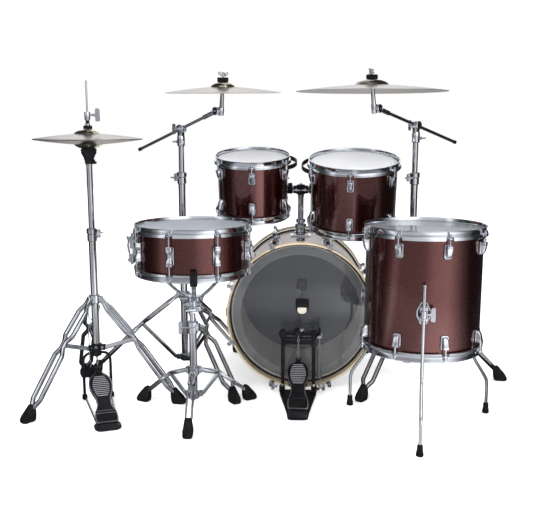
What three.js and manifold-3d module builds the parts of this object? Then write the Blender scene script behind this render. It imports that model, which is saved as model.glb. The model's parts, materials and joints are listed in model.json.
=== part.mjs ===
// A five-drum acoustic kit with its stands and pedals, in millimetres, +Z up.
// The bass drum's axis runs along Y: its batter side, and the player, are towards -Y.
// Each drum, stand and pedal is a group with its own local frame.
import * as THREE from "three";
import { mergeVertices } from "three/addons/utils/BufferGeometryUtils.js";
import Module from "manifold-3d";

const wasm = await Module();
wasm.setup();

// ---------- driving dimensions ----------
const GAP = 0.4; // clearance between pieces that touch
const DEGREE = Math.PI / 180;
const DRUM_SIDES = 24;
const BASS_SIDES = 32;
const CYMBAL_SIDES = 24;
const TUBE_SIDES = 10;
const ROD_SIDES = 8;

const BASS = {
  x: 67, frontY: 62, centreZ: 271, radius: 254, depth: 406, wall: 8,
  hoopInner: 258.6, hoopOuter: 266, hoopWidth: 37, sides: BASS_SIDES,
};
const RACK_TOMS = [
  {
    name: "tom1", side: -1, x: -110.5, y: 204.4, z: 728, tilt: 10.2,
    radius: 127, depth: 203, wall: 7, hoopRise: 10, bracketAngle: 52, sides: DRUM_SIDES,
  },
  {
    name: "tom2", side: 1, x: 251.6, y: 151, z: 705, tilt: 11.5,
    radius: 152.4, depth: 229, wall: 7, hoopRise: 10, bracketAngle: 123, sides: DRUM_SIDES,
  },
];
const TOM_POST = {
  x: 65, y: 354, radius: 11, low: 478, high: 684, blockZ: 700, blockHalf: 30, blockWidth: 34,
  plate: [72, 90, 40], socketRadius: 20, socketHeight: 46, hubRadius: 17, hubHalf: 11,
};
const SPUR = { hubX: 270, hubZ: 190, hubY: 95, footX: 265, footY: 134, hubRadius: 16, footRadius: 12 };
const FLOOR_TOM = {
  name: "floor_tom", x: 445.5, y: -252.8, top: 643, radius: 178, depth: 362, wall: 7,
  hoopRise: 11, sides: DRUM_SIDES, legAngles: [-97, 23, 143],
  legRadius: 200, footRadius: 260, bracketZ: 412, legTop: 494, bracket: [38, 26, 44],
};
const SNARE = {
  name: "snare", x: -280.2, y: -184.4, top: 634, radius: 178, depth: 140, wall: 6,
  hoopRise: 9, sides: DRUM_SIDES, leverAngle: 180, leverZ: 515, leverLength: 74,
};
const SNARE_STAND = {
  x: -287.7, y: -172.7, turn: 4.8, footRadius: 219, legStart: -90, legTop: 140, bow: 22,
  braceShare: 0.42, braceLow: 43, tubeLow: 43, tubeHigh: 288, upperLow: 150, upperHigh: 334,
  pivotZ: 366, hubZ: 388, armAngles: [-83, 37, 157],
};
const HIHAT = {
  x: -636, y: -80, pedalTurn: 20.5, turn: -5, footRadius: 272, legStart: 0, legTop: 360,
  bow: 12, braceShare: 0.45, braceLow: 178,
  tubeLow: 165, tubeHigh: 581, upperLow: 420, seatZ: 838, edgeZ: 898, rodHigh: 1087,
  cymbalRadius: 178, cymbalRise: 30, bellRadius: 48, heelY: -285, toeY: -22, boardStart: 66,
  boardLow: 30, boardHigh: 104, rodSide: 46,
};
const CYMBAL_STANDS = [
  {
    name: "left", x: -373.7, y: 214.9, turn: -60, footRadius: 352, clampZ: 930,
    tip: [-234, 134, 992], tail: 215, cymbal: [-209, 119, 1054], radius: 203, rise: 37,
    lean: 3, legStart: 0, legTop: 312, bow: 14, braceShare: 0.45, braceLow: 58,
    tubeLow: 56, tubeHigh: 740, midLow: 520,
  },
  {
    name: "right", x: 478.6, y: 226.1, turn: -5.5, footRadius: 335, clampZ: 943,
    tip: [324.4, 67.2, 999], tail: 260, cymbal: [299, 34, 1054], radius: 254, rise: 40,
    lean: 0.5, legStart: 0, legTop: 318, bow: 14, braceShare: 0.45, braceLow: 58,
    tubeLow: 56, tubeHigh: 740, midLow: 520,
  },
];
const BASS_PEDAL = {
  x: 60, postY: 20, postHalf: 55, axleY: 6, axleZ: 215, axleRadius: 5.6, heelY: -232, toeY: 24,
  baseHeight: 4, heelZ: 38, toeZ: 112, camRadius: 24, rockerReach: 30, springX: 74, springLow: 24,
  springRadius: 7.5, beaterRadius: 185, beaterLean: 43,
};
const FOOTBOARD = { width: 80, thickness: 7 };
const STEEL_HOOP = { inside: 4.4, wall: 2.6, flange: 11, flangeThickness: 2.5, skirt: 15 };
const HEAD = { film: 0.8, collar: 5, overhang: 4 };
const TRIPOD = {
  legRadius: 7, braceRadius: 5, ankleZ: 22, hipCollar: 8, hipHalf: 16, lowCollar: 6,
  lowCollarHeight: 26, clampLow: 12, clampHigh: 22, footLow: 17, footHigh: 14, footHeight: 44,
};
const BOOM = {
  radius: 6, tipGap: 16, swivelRadius: 15, swivelHalf: 14, ratchetRadius: 13, ratchetHalf: 11,
  rodOffset: 21,
};
const CYMBAL = { thickness: 1.3, hole: 6.5, bellShare: 0.235, bellFoot: 0.52, bowDrop: 0.58 };

// ---------- materials ----------
const finish = (color, roughness, metalness, opacity = 1) =>
  new THREE.MeshStandardMaterial({
    color, roughness, metalness, opacity, transparent: opacity < 1,
  });
const LACQUER = finish(0x4b2323, 0.2, 0.1);
const CHROME = finish(0xc8cacd, 0.15, 1);
const MAPLE = finish(0xc4ad86, 0.4, 0);
const CLEAR_FILM = finish(0xdfe3e8, 0.1, 0, 0.3);
const COATED_FILM = finish(0xcfd1d6, 0.5, 0);
const DARK_FILM = finish(0x5a5c68, 0.4, 0);
const BRONZE = finish(0xa39a88, 0.3, 1);
const BLACK_STEEL = finish(0x18181a, 0.4, 0.5);

// ---------- shape helpers: each returns a BufferGeometry ----------
function solidOf(geometry) {
  const loose = geometry.index ? geometry.toNonIndexed() : geometry;
  const bare = new THREE.BufferGeometry();
  bare.setAttribute("position", loose.getAttribute("position"));
  const merged = mergeVertices(bare, 1e-3);
  const vertProperties = merged.attributes.position.array;
  const triVerts = new Uint32Array(merged.index.array);
  const made = new wasm.Manifold(new wasm.Mesh({ numProp: 3, vertProperties, triVerts }));
  if (made.volume() > 0) return made;
  triVerts.reverse();
  return new wasm.Manifold(new wasm.Mesh({ numProp: 3, vertProperties, triVerts }));
}

function geometryOf(solid) {
  const mesh = solid.getMesh();
  const positions = new Float32Array(mesh.numVert * 3);
  for (let i = 0; i < mesh.numVert; i += 1) {
    const start = i * mesh.numProp;
    positions.set(mesh.vertProperties.subarray(start, start + 3), i * 3);
  }
  const geometry = new THREE.BufferGeometry();
  geometry.setAttribute("position", new THREE.BufferAttribute(positions, 3));
  geometry.setIndex(new THREE.BufferAttribute(mesh.triVerts, 1));
  geometry.computeVertexNormals();
  return geometry;
}

function join(...geometries) {
  const solids = geometries.map(solidOf);
  return geometryOf(solids.reduce((sum, next) => sum.add(next)));
}

function cut(geometry, ...tools) {
  const rest = tools.reduce((left, tool) => left.subtract(solidOf(tool)), solidOf(geometry));
  return geometryOf(rest);
}

// A profile of [radius, height] points turned about Z.
function turned(profile, sides = TUBE_SIDES) {
  const points = profile.map(([radius, height]) => new THREE.Vector2(radius, height));
  return new THREE.LatheGeometry(points, sides).rotateX(Math.PI / 2);
}

function ring(inner, outer, low, high, sides = TUBE_SIDES) {
  return turned([[inner, low], [outer, low], [outer, high], [inner, high], [inner, low]], sides);
}

function disc(radius, low, high, sides = TUBE_SIDES) {
  return turned([[0, low], [radius, low], [radius, high], [0, high]], sides);
}

function block(size, centre) {
  return new THREE.BoxGeometry(...size).translate(...centre);
}

function alongX(geometry) {
  return geometry.rotateY(Math.PI / 2);
}

// A straight rod between two points.
function rod(start, end, radius, sides = ROD_SIDES) {
  const from = new THREE.Vector3(...start);
  const to = new THREE.Vector3(...end);
  const length = from.distanceTo(to);
  const geometry = disc(radius, 0, length, sides);
  const turn = new THREE.Quaternion().setFromUnitVectors(
    new THREE.Vector3(0, 0, 1),
    to.sub(from).divideScalar(length),
  );
  return geometry.applyQuaternion(turn).translate(...start);
}

// A round bar along a smooth curve through the points.
function bentRod(points, radius, steps, sides = ROD_SIDES) {
  const curve = new THREE.CatmullRomCurve3(points.map((point) => new THREE.Vector3(...point)));
  const section = new THREE.Shape();
  for (let i = 0; i < sides; i += 1) {
    const angle = (i / sides) * 2 * Math.PI;
    const [x, y] = [radius * Math.cos(angle), radius * Math.sin(angle)];
    if (i === 0) section.moveTo(x, y);
    else section.lineTo(x, y);
  }
  section.closePath();
  return new THREE.ExtrudeGeometry(section, { steps, extrudePath: curve, bevelEnabled: false });
}

// A point at an angle about Z, in degrees.
function around(angle, radius, height) {
  return [radius * Math.cos(angle * DEGREE), radius * Math.sin(angle * DEGREE), height];
}

function turnedAbout(geometry, angle) {
  return geometry.rotateZ(angle * DEGREE);
}

// ---------- assemblies ----------
const kit = new THREE.Group();

function assembly(x, y, z = 0, turn = 0) {
  const group = new THREE.Group();
  group.position.set(x, y, z);
  group.rotation.z = turn * DEGREE;
  kit.add(group);
  return group;
}

function addPart(group, name, geometry, material) {
  const mesh = new THREE.Mesh(geometryOf(solidOf(geometry)), material);
  mesh.name = name;
  group.add(mesh);
  return mesh;
}

// ---------- drums: local +Z points out of the batter side ----------
function shellRing(drum) {
  const half = drum.depth / 2;
  return ring(drum.radius - drum.wall, drum.radius, -half, half, drum.sides);
}

// A head is a film over the shell's edge, with its flesh hoop round the outside.
function headProfile(drum) {
  const edge = drum.depth / 2 + GAP;
  const low = edge - HEAD.collar;
  const high = edge + HEAD.film;
  const inside = drum.radius + GAP;
  const outside = drum.radius + HEAD.overhang;
  return [[0, edge], [inside, edge], [inside, low], [outside, low], [outside, high], [0, high]];
}

// A pressed steel hoop: an upright wall on a flange that takes the tension rods.
function steelHoop(drum) {
  const low = drum.depth / 2 - STEEL_HOOP.skirt;
  const high = drum.depth / 2 + drum.hoopRise;
  const inside = drum.radius + STEEL_HOOP.inside;
  const outside = inside + STEEL_HOOP.wall;
  const flange = drum.radius + STEEL_HOOP.flange;
  const step = low + STEEL_HOOP.flangeThickness;
  return turned([[inside, low], [flange, low], [flange, step], [outside, step],
    [outside, high], [inside, high], [inside, low]], drum.sides);
}

function addHeads(group, drum, names, materials) {
  const batter = turned(headProfile(drum), drum.sides);
  const resonant = turned(headProfile(drum), drum.sides).rotateX(Math.PI);
  addPart(group, names[0], batter, materials[0]);
  addPart(group, names[1], resonant, materials[1]);
}

function addSteelHoops(group, drum, names) {
  addPart(group, names[0], steelHoop(drum), CHROME);
  addPart(group, names[1], steelHoop(drum).rotateX(Math.PI), CHROME);
}

// ---------- bass drum ----------
function addBassDrum() {
  const centreY = BASS.frontY + BASS.hoopWidth + BASS.depth / 2;
  const group = assembly(BASS.x, centreY, BASS.centreZ);
  group.rotation.x = Math.PI / 2;
  const half = BASS.depth / 2;
  const postHole = disc(TOM_POST.radius + 2, 230, 270).rotateX(-Math.PI / 2);
  postHole.translate(TOM_POST.x - BASS.x, 0, centreY - TOM_POST.y);
  addPart(group, "bass_shell", cut(shellRing(BASS), postHole), LACQUER);
  const hoop = () =>
    ring(BASS.hoopInner, BASS.hoopOuter, half, half + BASS.hoopWidth, BASS.sides);
  addPart(group, "bass_batter_hoop", hoop(), MAPLE);
  addPart(group, "bass_front_hoop", hoop().rotateX(Math.PI), MAPLE);
  addHeads(group, BASS, ["bass_batter_head", "bass_front_head"], [CLEAR_FILM, DARK_FILM]);
}

// A spur swings on a hub at the shell's side, and ends in a rubber foot on the floor.
function addSpurs() {
  const frontY = BASS.frontY + 2 * BASS.hoopWidth + BASS.depth;
  const { hubX, hubZ, footX, footY, hubRadius, footRadius } = SPUR;
  for (const [name, side] of [["bass_spur_left", -1], ["bass_spur_right", 1]]) {
    const group = assembly(BASS.x, frontY - SPUR.hubY);
    const hub = alongX(disc(hubRadius, -12, 12)).translate(side * hubX, 0, hubZ);
    const leg = rod([side * hubX, 0, hubZ], [side * footX, footY - 6, 24], footRadius / 2);
    const foot = disc(footRadius, 0, 34).translate(side * footX, footY, 0);
    addPart(group, name, join(hub, leg, foot), CHROME);
  }
}

// ---------- rack toms and their post ----------
function addTomPost() {
  const group = assembly(TOM_POST.x, TOM_POST.y);
  const { radius, low, high, blockZ, blockHalf, blockWidth } = TOM_POST;
  const shellTop = BASS.centreZ + BASS.radius;
  const plate = block(TOM_POST.plate, [0, 0, shellTop - 2]);
  const socket = disc(TOM_POST.socketRadius, shellTop, shellTop + TOM_POST.socketHeight);
  const shellShape = disc(BASS.radius + GAP, -80, 80, 2 * BASS_SIDES)
    .rotateX(Math.PI / 2)
    .translate(BASS.x - TOM_POST.x, 0, BASS.centreZ);
  const bore = disc(radius + 0.9, low, high);
  addPart(group, "tom_mount_base", cut(join(plate, socket), shellShape, bore), CHROME);
  const post = disc(radius, low, high);
  const head = block([2 * blockHalf, blockWidth, blockWidth], [0, 0, blockZ]);
  addPart(group, "tom_post", join(post, head), CHROME);
}

// The holder turns on the block's end and carries the bracket on the tom's shell.
function tomHolder(tom) {
  const tilt = new THREE.Matrix4().makeRotationX(tom.tilt * DEGREE);
  const toLocal = new THREE.Matrix4()
    .setPosition(tom.x, tom.y, tom.z)
    .multiply(tilt)
    .invert();
  const { hubHalf, hubRadius, blockHalf } = TOM_POST;
  const hubX = TOM_POST.x + tom.side * (blockHalf + GAP + hubHalf);
  const hub = alongX(disc(hubRadius, -hubHalf, hubHalf));
  hub.translate(hubX, TOM_POST.y, TOM_POST.blockZ).applyMatrix4(toLocal);
  const pivot = new THREE.Vector3(hubX, TOM_POST.y, TOM_POST.blockZ).applyMatrix4(toLocal);
  const plate = turnedAbout(block([14, 46, 96], [tom.radius + 8, 0, 0]), tom.bracketAngle);
  const elbow = around(tom.bracketAngle, tom.radius + 26, 0);
  const arm = rod(pivot.toArray(), elbow, 6);
  const lug = turnedAbout(block([30, 24, 24], [tom.radius + 18, 0, 0]), tom.bracketAngle);
  const shellShape = disc(tom.radius + GAP, -tom.depth, tom.depth, DRUM_SIDES);
  return cut(join(plate, lug, arm, hub), shellShape);
}

function addRackTom(tom) {
  const group = assembly(tom.x, tom.y, tom.z);
  group.rotation.x = tom.tilt * DEGREE;
  const name = tom.name;
  addPart(group, name + "_shell", shellRing(tom), LACQUER);
  addSteelHoops(group, tom, [name + "_top_hoop", name + "_bottom_hoop"]);
  addHeads(group, tom, [name + "_batter_head", name + "_bottom_head"], [COATED_FILM, CLEAR_FILM]);
  addPart(group, name + "_holder", tomHolder(tom), CHROME);
}

// ---------- floor tom ----------
function addFloorTom() {
  const tom = FLOOR_TOM;
  const centreZ = tom.top - tom.hoopRise - tom.depth / 2;
  const group = assembly(tom.x, tom.y, centreZ);
  const bracketZ = tom.bracketZ - centreZ;
  const brackets = tom.legAngles.map((angle) =>
    turnedAbout(block(tom.bracket, [tom.radius + 13, 0, bracketZ]), angle));
  const bores = tom.legAngles.map((angle) => {
    const [x, y] = around(angle, tom.legRadius, 0);
    return disc(5.9, -tom.depth, tom.depth, ROD_SIDES).translate(x, y, 0);
  });
  const inside = disc(tom.radius - tom.wall, -tom.depth, tom.depth, tom.sides);
  const shell = cut(join(shellRing(tom), ...brackets), inside, ...bores);
  addPart(group, "floor_tom_shell", shell, LACQUER);
  addSteelHoops(group, tom, ["floor_tom_top_hoop", "floor_tom_bottom_hoop"]);
  const heads = ["floor_tom_batter_head", "floor_tom_bottom_head"];
  addHeads(group, tom, heads, [CLEAR_FILM, CLEAR_FILM]);
  tom.legAngles.forEach((angle, i) => addFloorTomLeg(angle, i + 1));
}

// A leg runs straight through its bracket, bends outwards and ends in a rubber tip.
function addFloorTomLeg(angle, number) {
  const tom = FLOOR_TOM;
  const group = assembly(tom.x, tom.y, 0, angle);
  const [r, foot] = [tom.legRadius, tom.footRadius];
  const path = [[r, 0, tom.legTop], [r, 0, 350], [r, 0, 222], [r + 5, 0, 195],
    [foot - 5, 0, 127], [foot, 0, 100], [foot, 0, 18]];
  const tip = turned([[0, 0], [11, 0], [8.5, 34], [0, 34]], 10).translate(foot, 0, 0);
  addPart(group, "floor_tom_leg_" + number, join(bentRod(path, 5, 16, 6), tip), CHROME);
}

// ---------- snare drum ----------
function addSnareDrum() {
  const drum = SNARE;
  const centreZ = drum.top - drum.hoopRise - drum.depth / 2;
  const group = assembly(drum.x, drum.y, centreZ);
  const housing = turnedAbout(block([22, 34, 60], [drum.radius + 8, 0, 0]), drum.leverAngle);
  const inside = disc(drum.radius - drum.wall, -drum.depth, drum.depth, drum.sides);
  addPart(group, "snare_shell", cut(join(shellRing(drum), housing), inside), LACQUER);
  addSteelHoops(group, drum, ["snare_batter_hoop", "snare_side_hoop"]);
  addHeads(group, drum, ["snare_batter_head", "snare_side_head"], [COATED_FILM, CLEAR_FILM]);
  const leverZ = drum.leverZ - centreZ;
  const half = drum.leverLength / 2;
  const lever = block([7, 16, 2 * half], [drum.radius + 24, 0, leverZ + half]);
  const eye = disc(7, -8, 8, TUBE_SIDES).rotateX(Math.PI / 2);
  eye.translate(drum.radius + 27, 0, leverZ);
  addPart(group, "snare_lever", turnedAbout(join(lever, eye), drum.leverAngle), CHROME);
}

// ---------- stands ----------
// Three legs leave a collar, bow outwards and end in rubber feet. Braces tie them to a lower collar.
function tripod(stand, tubeRadius, tubeBore) {
  const { legTop, braceLow, footRadius, braceShare, tubeLow, tubeHigh } = stand;
  const { hipHalf, lowCollarHeight, clampLow, clampHigh } = TRIPOD;
  const collar = tubeRadius + TRIPOD.lowCollar;
  const pieces = [
    ring(tubeBore, tubeRadius, tubeLow, tubeHigh),
    ring(tubeBore, tubeRadius + TRIPOD.hipCollar, legTop - hipHalf, legTop + hipHalf),
    ring(tubeBore, collar, braceLow, braceLow + lowCollarHeight),
    ring(tubeBore, collar, tubeHigh - clampLow, tubeHigh + clampHigh),
  ];
  const hip = [tubeRadius + 4, 0, legTop];
  const ankle = [footRadius, 0, TRIPOD.ankleZ];
  const footSide = [[0, 0], [TRIPOD.footLow, 0], [TRIPOD.footHigh, TRIPOD.footHeight],
    [0, TRIPOD.footHeight]];
  const knee = hip.map((value, axis) => value + braceShare * (ankle[axis] - value));
  knee[2] += stand.bow;
  for (let i = 0; i < 3; i += 1) {
    const angle = stand.legStart + 120 * i;
    const leg = bentRod([hip, knee, ankle], TRIPOD.legRadius, 5, 4);
    const braceFoot = [tubeRadius, 0, braceLow + lowCollarHeight / 2];
    const brace = rod(braceFoot, knee, TRIPOD.braceRadius, 4);
    const foot = turned(footSide, 8).translate(footRadius, 0, 0);
    pieces.push(turnedAbout(leg, angle), turnedAbout(brace, angle), turnedAbout(foot, angle));
  }
  return cut(join(...pieces), disc(tubeBore, 0, tubeHigh + 2 * clampHigh));
}

function addSnareStand() {
  const stand = SNARE_STAND;
  const group = assembly(stand.x, stand.y, 0, stand.turn);
  addPart(group, "snare_stand_tripod", tripod(stand, 12.5, 10.4), CHROME);
  const tube = disc(9.8, stand.upperLow, stand.upperHigh);
  const yoke = block([22, 26, 30], [0, 0, stand.upperHigh + 3]);
  addPart(group, "snare_stand_upper_tube", join(tube, yoke), CHROME);
  addSnareBasket();
}

// The basket: a hub on the tilter, and three arms whose tips hold the snare drum's lower hoop.
function addSnareBasket() {
  const { pivotZ, hubZ } = SNARE_STAND;
  const group = assembly(SNARE.x, SNARE.y, 0, SNARE_STAND.turn);
  const [tiltX, tiltY] = [SNARE_STAND.x - SNARE.x, SNARE_STAND.y - SNARE.y];
  const hoopBottom = SNARE.top - 2 * SNARE.hoopRise - SNARE.depth;
  const hoopOuter = SNARE.radius + STEEL_HOOP.flange;
  const pieces = [
    disc(15, pivotZ, hubZ + 14).translate(tiltX, tiltY, 0),
    disc(24, hubZ - 8, hubZ + 12),
    alongX(disc(13, -16, 16)).translate(tiltX, tiltY, pivotZ),
  ];
  const path = [[10, 0, hubZ], [95, 0, hubZ + 28], [hoopOuter + 6, 0, hoopBottom - 9]];
  for (const angle of SNARE_STAND.armAngles) {
    const arm = bentRod(path, 5, 4, 4);
    const rest = block([24, 16, 8], [hoopOuter - 4, 0, hoopBottom - 5]);
    const tip = block([8, 16, 40], [hoopOuter + 5, 0, hoopBottom + 11]);
    pieces.push(...[arm, rest, tip].map((piece) => turnedAbout(piece, angle)));
  }
  addPart(group, "snare_basket", join(...pieces), CHROME);
}

// ---------- cymbals ----------
// A bell with a bow that falls away to the edge. The edge's underside is at height 0.
function cymbal(radius, rise, bellRadius) {
  const bellFoot = rise * CYMBAL.bellFoot;
  const bow = [(bellRadius + radius) / 2, bellFoot * CYMBAL.bowDrop];
  const under = [[CYMBAL.hole, rise], [bellRadius * 0.6, rise * 0.92], [bellRadius, bellFoot],
    bow, [radius, 0]];
  const outer = under.map(([r, z]) => [r, z + CYMBAL.thickness]);
  return turned([...outer, ...under.reverse(), outer[0]], CYMBAL_SIDES);
}

function addHihat() {
  const legs = assembly(HIHAT.x, HIHAT.y, 0, HIHAT.turn);
  addPart(legs, "hihat_tripod", tripod(HIHAT, 12.5, 10.8), CHROME);
  const group = assembly(HIHAT.x, HIHAT.y, 0, HIHAT.pedalTurn);
  const { seatZ, edgeZ, rodHigh, upperLow, cymbalRadius, cymbalRise } = HIHAT;
  const upper = join(
    ring(4.4, 10.2, upperLow, seatZ - 16),
    ring(4.4, 16, seatZ - 20, seatZ),
    ring(4.4, 12, seatZ - 2, edgeZ - cymbalRise - 3),
  );
  addPart(group, "hihat_upper_tube", upper, CHROME);
  const hat = () => cymbal(cymbalRadius, cymbalRise, HIHAT.bellRadius);
  const lower = hat().rotateX(Math.PI).translate(0, 0, edgeZ - GAP);
  addPart(group, "hihat_bottom_cymbal", lower, BRONZE);
  addPart(group, "hihat_top_cymbal", hat().translate(0, 0, edgeZ + GAP), BRONZE);
  addPart(group, "hihat_rod", disc(3, 172, rodHigh, ROD_SIDES), CHROME);
  const crown = edgeZ + cymbalRise + CYMBAL.thickness + 2 * GAP;
  const clutch = join(
    ring(3.5, 14, crown + GAP, crown + 14),
    ring(3.5, 8, crown + 12, crown + 60),
    block([20, 9, 12], [16, 0, crown + 44]),
  );
  addPart(group, "hihat_clutch", clutch, CHROME);
  addHihatPedal(group);
}

// The pedal: a heel plate and a frame of two rods, and a footboard hinged at the heel.
function addHihatPedal(group) {
  const { heelY, toeY, braceLow, rodSide, boardLow, boardHigh } = HIHAT;
  const frame = [
    block([2 * rodSide, 62, 8], [0, heelY + 4, 8]),
    block([22, 30, 16], [0, heelY + 46, 14]),
    block([2 * rodSide + 12, 16, 12], [0, 0, 12]),
    block([2 * rodSide + 12, 18, 14], [0, 0, braceLow - 23]),
  ];
  for (const x of [-rodSide, rodSide]) {
    frame.push(rod([x, 0, 10], [x, 0, braceLow - 20], 4.5));
    frame.push(rod([0.74 * x, heelY + 20, 9], [x, 0, 10], 4));
  }
  const hole = disc(8, braceLow - 40, braceLow, ROD_SIDES);
  addPart(group, "hihat_pedal_frame", cut(join(...frame), hole), BLACK_STEEL);
  const board = footboard([heelY + HIHAT.boardStart, boardLow], [toeY, boardHigh]);
  addPart(group, "hihat_footboard", board, BLACK_STEEL);
}

// A flat board that climbs from its heel to its toe, each given as [y, z].
function footboard([heelY, heelZ], [toeY, toeZ]) {
  const [length, rise] = [toeY - heelY, toeZ - heelZ];
  return block([FOOTBOARD.width, Math.hypot(length, rise), FOOTBOARD.thickness], [0, 0, 0])
    .rotateX(Math.atan2(rise, length))
    .translate(0, (heelY + toeY) / 2, (heelZ + toeZ) / 2);
}

// ---------- boom cymbal stands ----------
function addCymbalStand(data) {
  const group = assembly(data.x, data.y, 0, data.turn);
  const name = data.name + "_";
  addPart(group, name + "stand_tripod", tripod(data, 13, 10.9), CHROME);
  const mid = join(
    disc(10.2, data.midLow, data.clampZ - 30),
    disc(13, data.clampZ - 62, data.clampZ - 22),
    block([26, 20, 26], [0, 0, data.clampZ - 30]),
  );
  addPart(group, name + "stand_mid_tube", mid, CHROME);
  addBoom(data, name);
}

// A swivel block over the tube, with the boom through it, and at its tip a tilter with the cymbal.
function addBoom(data, name) {
  const group = assembly(0, 0);
  const clamp = new THREE.Vector3(data.x, data.y, data.clampZ);
  const tip = new THREE.Vector3(...data.tip);
  const along = tip.clone().sub(clamp).normalize();
  const tail = clamp.clone().addScaledVector(along, -data.tail);
  const tipSide = tip.clone().addScaledVector(along, -BOOM.tipGap);
  const hinge = new THREE.Vector3(along.y, -along.x, 0).normalize();
  const barrel = (centre, radius, half) =>
    rod(
      centre.clone().addScaledVector(hinge, -half).toArray(),
      centre.clone().addScaledVector(hinge, half).toArray(),
      radius,
      TUBE_SIDES,
    );
  const bar = rod(tail.toArray(), tipSide.toArray(), BOOM.radius);
  const swivel = barrel(clamp, BOOM.swivelRadius, BOOM.swivelHalf);
  addPart(group, name + "boom_arm", join(bar, swivel), CHROME);
  const seat = new THREE.Vector3(...data.cymbal);
  const crown = seat.clone().add(new THREE.Vector3(0, 0, data.rise));
  const ahead = new THREE.Vector3(along.x, along.y, 0).normalize();
  const rodFoot = tip.clone().addScaledVector(ahead, BOOM.rodOffset);
  const up = crown.clone().sub(rodFoot).normalize();
  const at = (height) => crown.clone().addScaledVector(up, height).toArray();
  const length = crown.distanceTo(rodFoot);
  const pieces = [
    barrel(tip, BOOM.ratchetRadius, BOOM.ratchetHalf),
    rod(tip.toArray(), rodFoot.toArray(), 8),
    rod(at(-length - 12), at(-length + 14), 9, TUBE_SIDES),
    rod(at(-length), at(-22), 6),
    rod(at(-26), at(-6), 11),
    rod(at(-10), at(34), 3.6, 6),
    rod(at(8), at(28), 11),
  ];
  addPart(group, name + "tilter", join(...pieces), CHROME);
  const place = assembly(seat.x, seat.y, seat.z);
  place.rotation.x = data.lean * DEGREE;
  const bell = data.radius * CYMBAL.bellShare;
  addPart(place, name + "cymbal", cymbal(data.radius, data.rise, bell), BRONZE);
}

// ---------- bass drum pedal ----------
function addBassPedal() {
  const p = BASS_PEDAL;
  const group = assembly(p.x, p.postY);
  const heel = p.heelY - p.postY;
  const base = p.baseHeight;
  const low = base / 2;
  const hoopY = BASS.frontY - p.postY;
  const hoopTop = BASS.centreZ - BASS.hoopInner;
  const clampEnd = hoopY + 16;
  const postHigh = p.axleZ + 14;
  const frame = [
    block([126, 40, base], [0, 4, low]),
    block([70, -heel + 30, base], [0, heel / 2, low]),
    block([66, 50, 26], [0, heel - 22, low + 12]),
    block([40, clampEnd, base], [0, clampEnd / 2, low]),
    block([40, 16, 22], [0, hoopY - 12, 12]),
    block([40, 30, 6], [0, clampEnd - 15, hoopTop + GAP + 3.4]),
    block([26, 12, 10], [p.springX - 10, 4, low + 3]),
  ];
  for (const x of [-p.postHalf, p.postHalf]) {
    frame.push(block([14, 18, postHigh], [x, 4, postHigh / 2 + 1]));
  }
  const [inner, outer] = [BASS.hoopInner - GAP, BASS.hoopOuter + GAP];
  const hoopShape = ring(inner, outer, 0, BASS.hoopWidth + 1, BASS.sides)
    .rotateX(-Math.PI / 2)
    .translate(BASS.x - p.x, hoopY - 0.5, BASS.centreZ);
  const axleBore = alongX(disc(p.axleRadius + 1, -80, 80)).translate(0, p.axleY, p.axleZ);
  addPart(group, "bass_pedal_frame", cut(join(...frame), hoopShape, axleBore), BLACK_STEEL);
  addBeater(group);
  const board = footboard([heel, p.heelZ], [p.toeY - p.postY, p.toeZ]);
  addPart(group, "bass_pedal_footboard", board, BLACK_STEEL);
}

// The beater turns with its axle and cam. A rocker on the axle's end pulls the return spring.
function addBeater(group) {
  const p = BASS_PEDAL;
  const { axleY, axleZ, rockerReach } = p;
  const lean = p.beaterLean * DEGREE;
  const headY = axleY - p.beaterRadius * Math.sin(lean);
  const headZ = axleZ + p.beaterRadius * Math.cos(lean);
  const beater = [
    alongX(disc(p.axleRadius, -66, p.springX + 4)).translate(0, axleY, axleZ),
    alongX(disc(15, -13, 13)).translate(0, axleY, axleZ),
    alongX(disc(p.camRadius, -8, 8)).translate(0, axleY, axleZ),
    rod([0, axleY, axleZ], [0, headY, headZ], 4.5),
    alongX(disc(21, -19, 19)).translate(0, headY, headZ),
    block([8, 42, 10], [p.springX, axleY - 17, axleZ]),
  ];
  addPart(group, "bass_pedal_beater", join(...beater), CHROME);
  const spring = disc(p.springRadius, p.springLow, axleZ - 5 - GAP);
  spring.translate(p.springX, axleY - rockerReach, 0);
  addPart(group, "bass_pedal_spring", spring, CHROME);
}

addBassDrum();
addSpurs();
addTomPost();
RACK_TOMS.forEach(addRackTom);
addFloorTom();
addSnareDrum();
addSnareStand();
addHihat();
CYMBAL_STANDS.forEach(addCymbalStand);
addBassPedal();

// The origin is on the floor, under the middle of the whole kit.
const extent = new THREE.Box3().setFromObject(kit, true);
const middle = extent.getCenter(new THREE.Vector3());
kit.position.set(-middle.x, -middle.y, -extent.min.z);

export default kit;
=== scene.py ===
"""Looks for the acoustic drum kit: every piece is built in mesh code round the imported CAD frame.

Shapes are in millimetres in the local frame of their drum, stand or pedal, and that frame comes
from the CAD nodes and joints. In a drum's frame +Z points out of the batter side.
"""
import json
import math

import bmesh
import bpy
import numpy as np
from mathutils import Matrix, Vector


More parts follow.
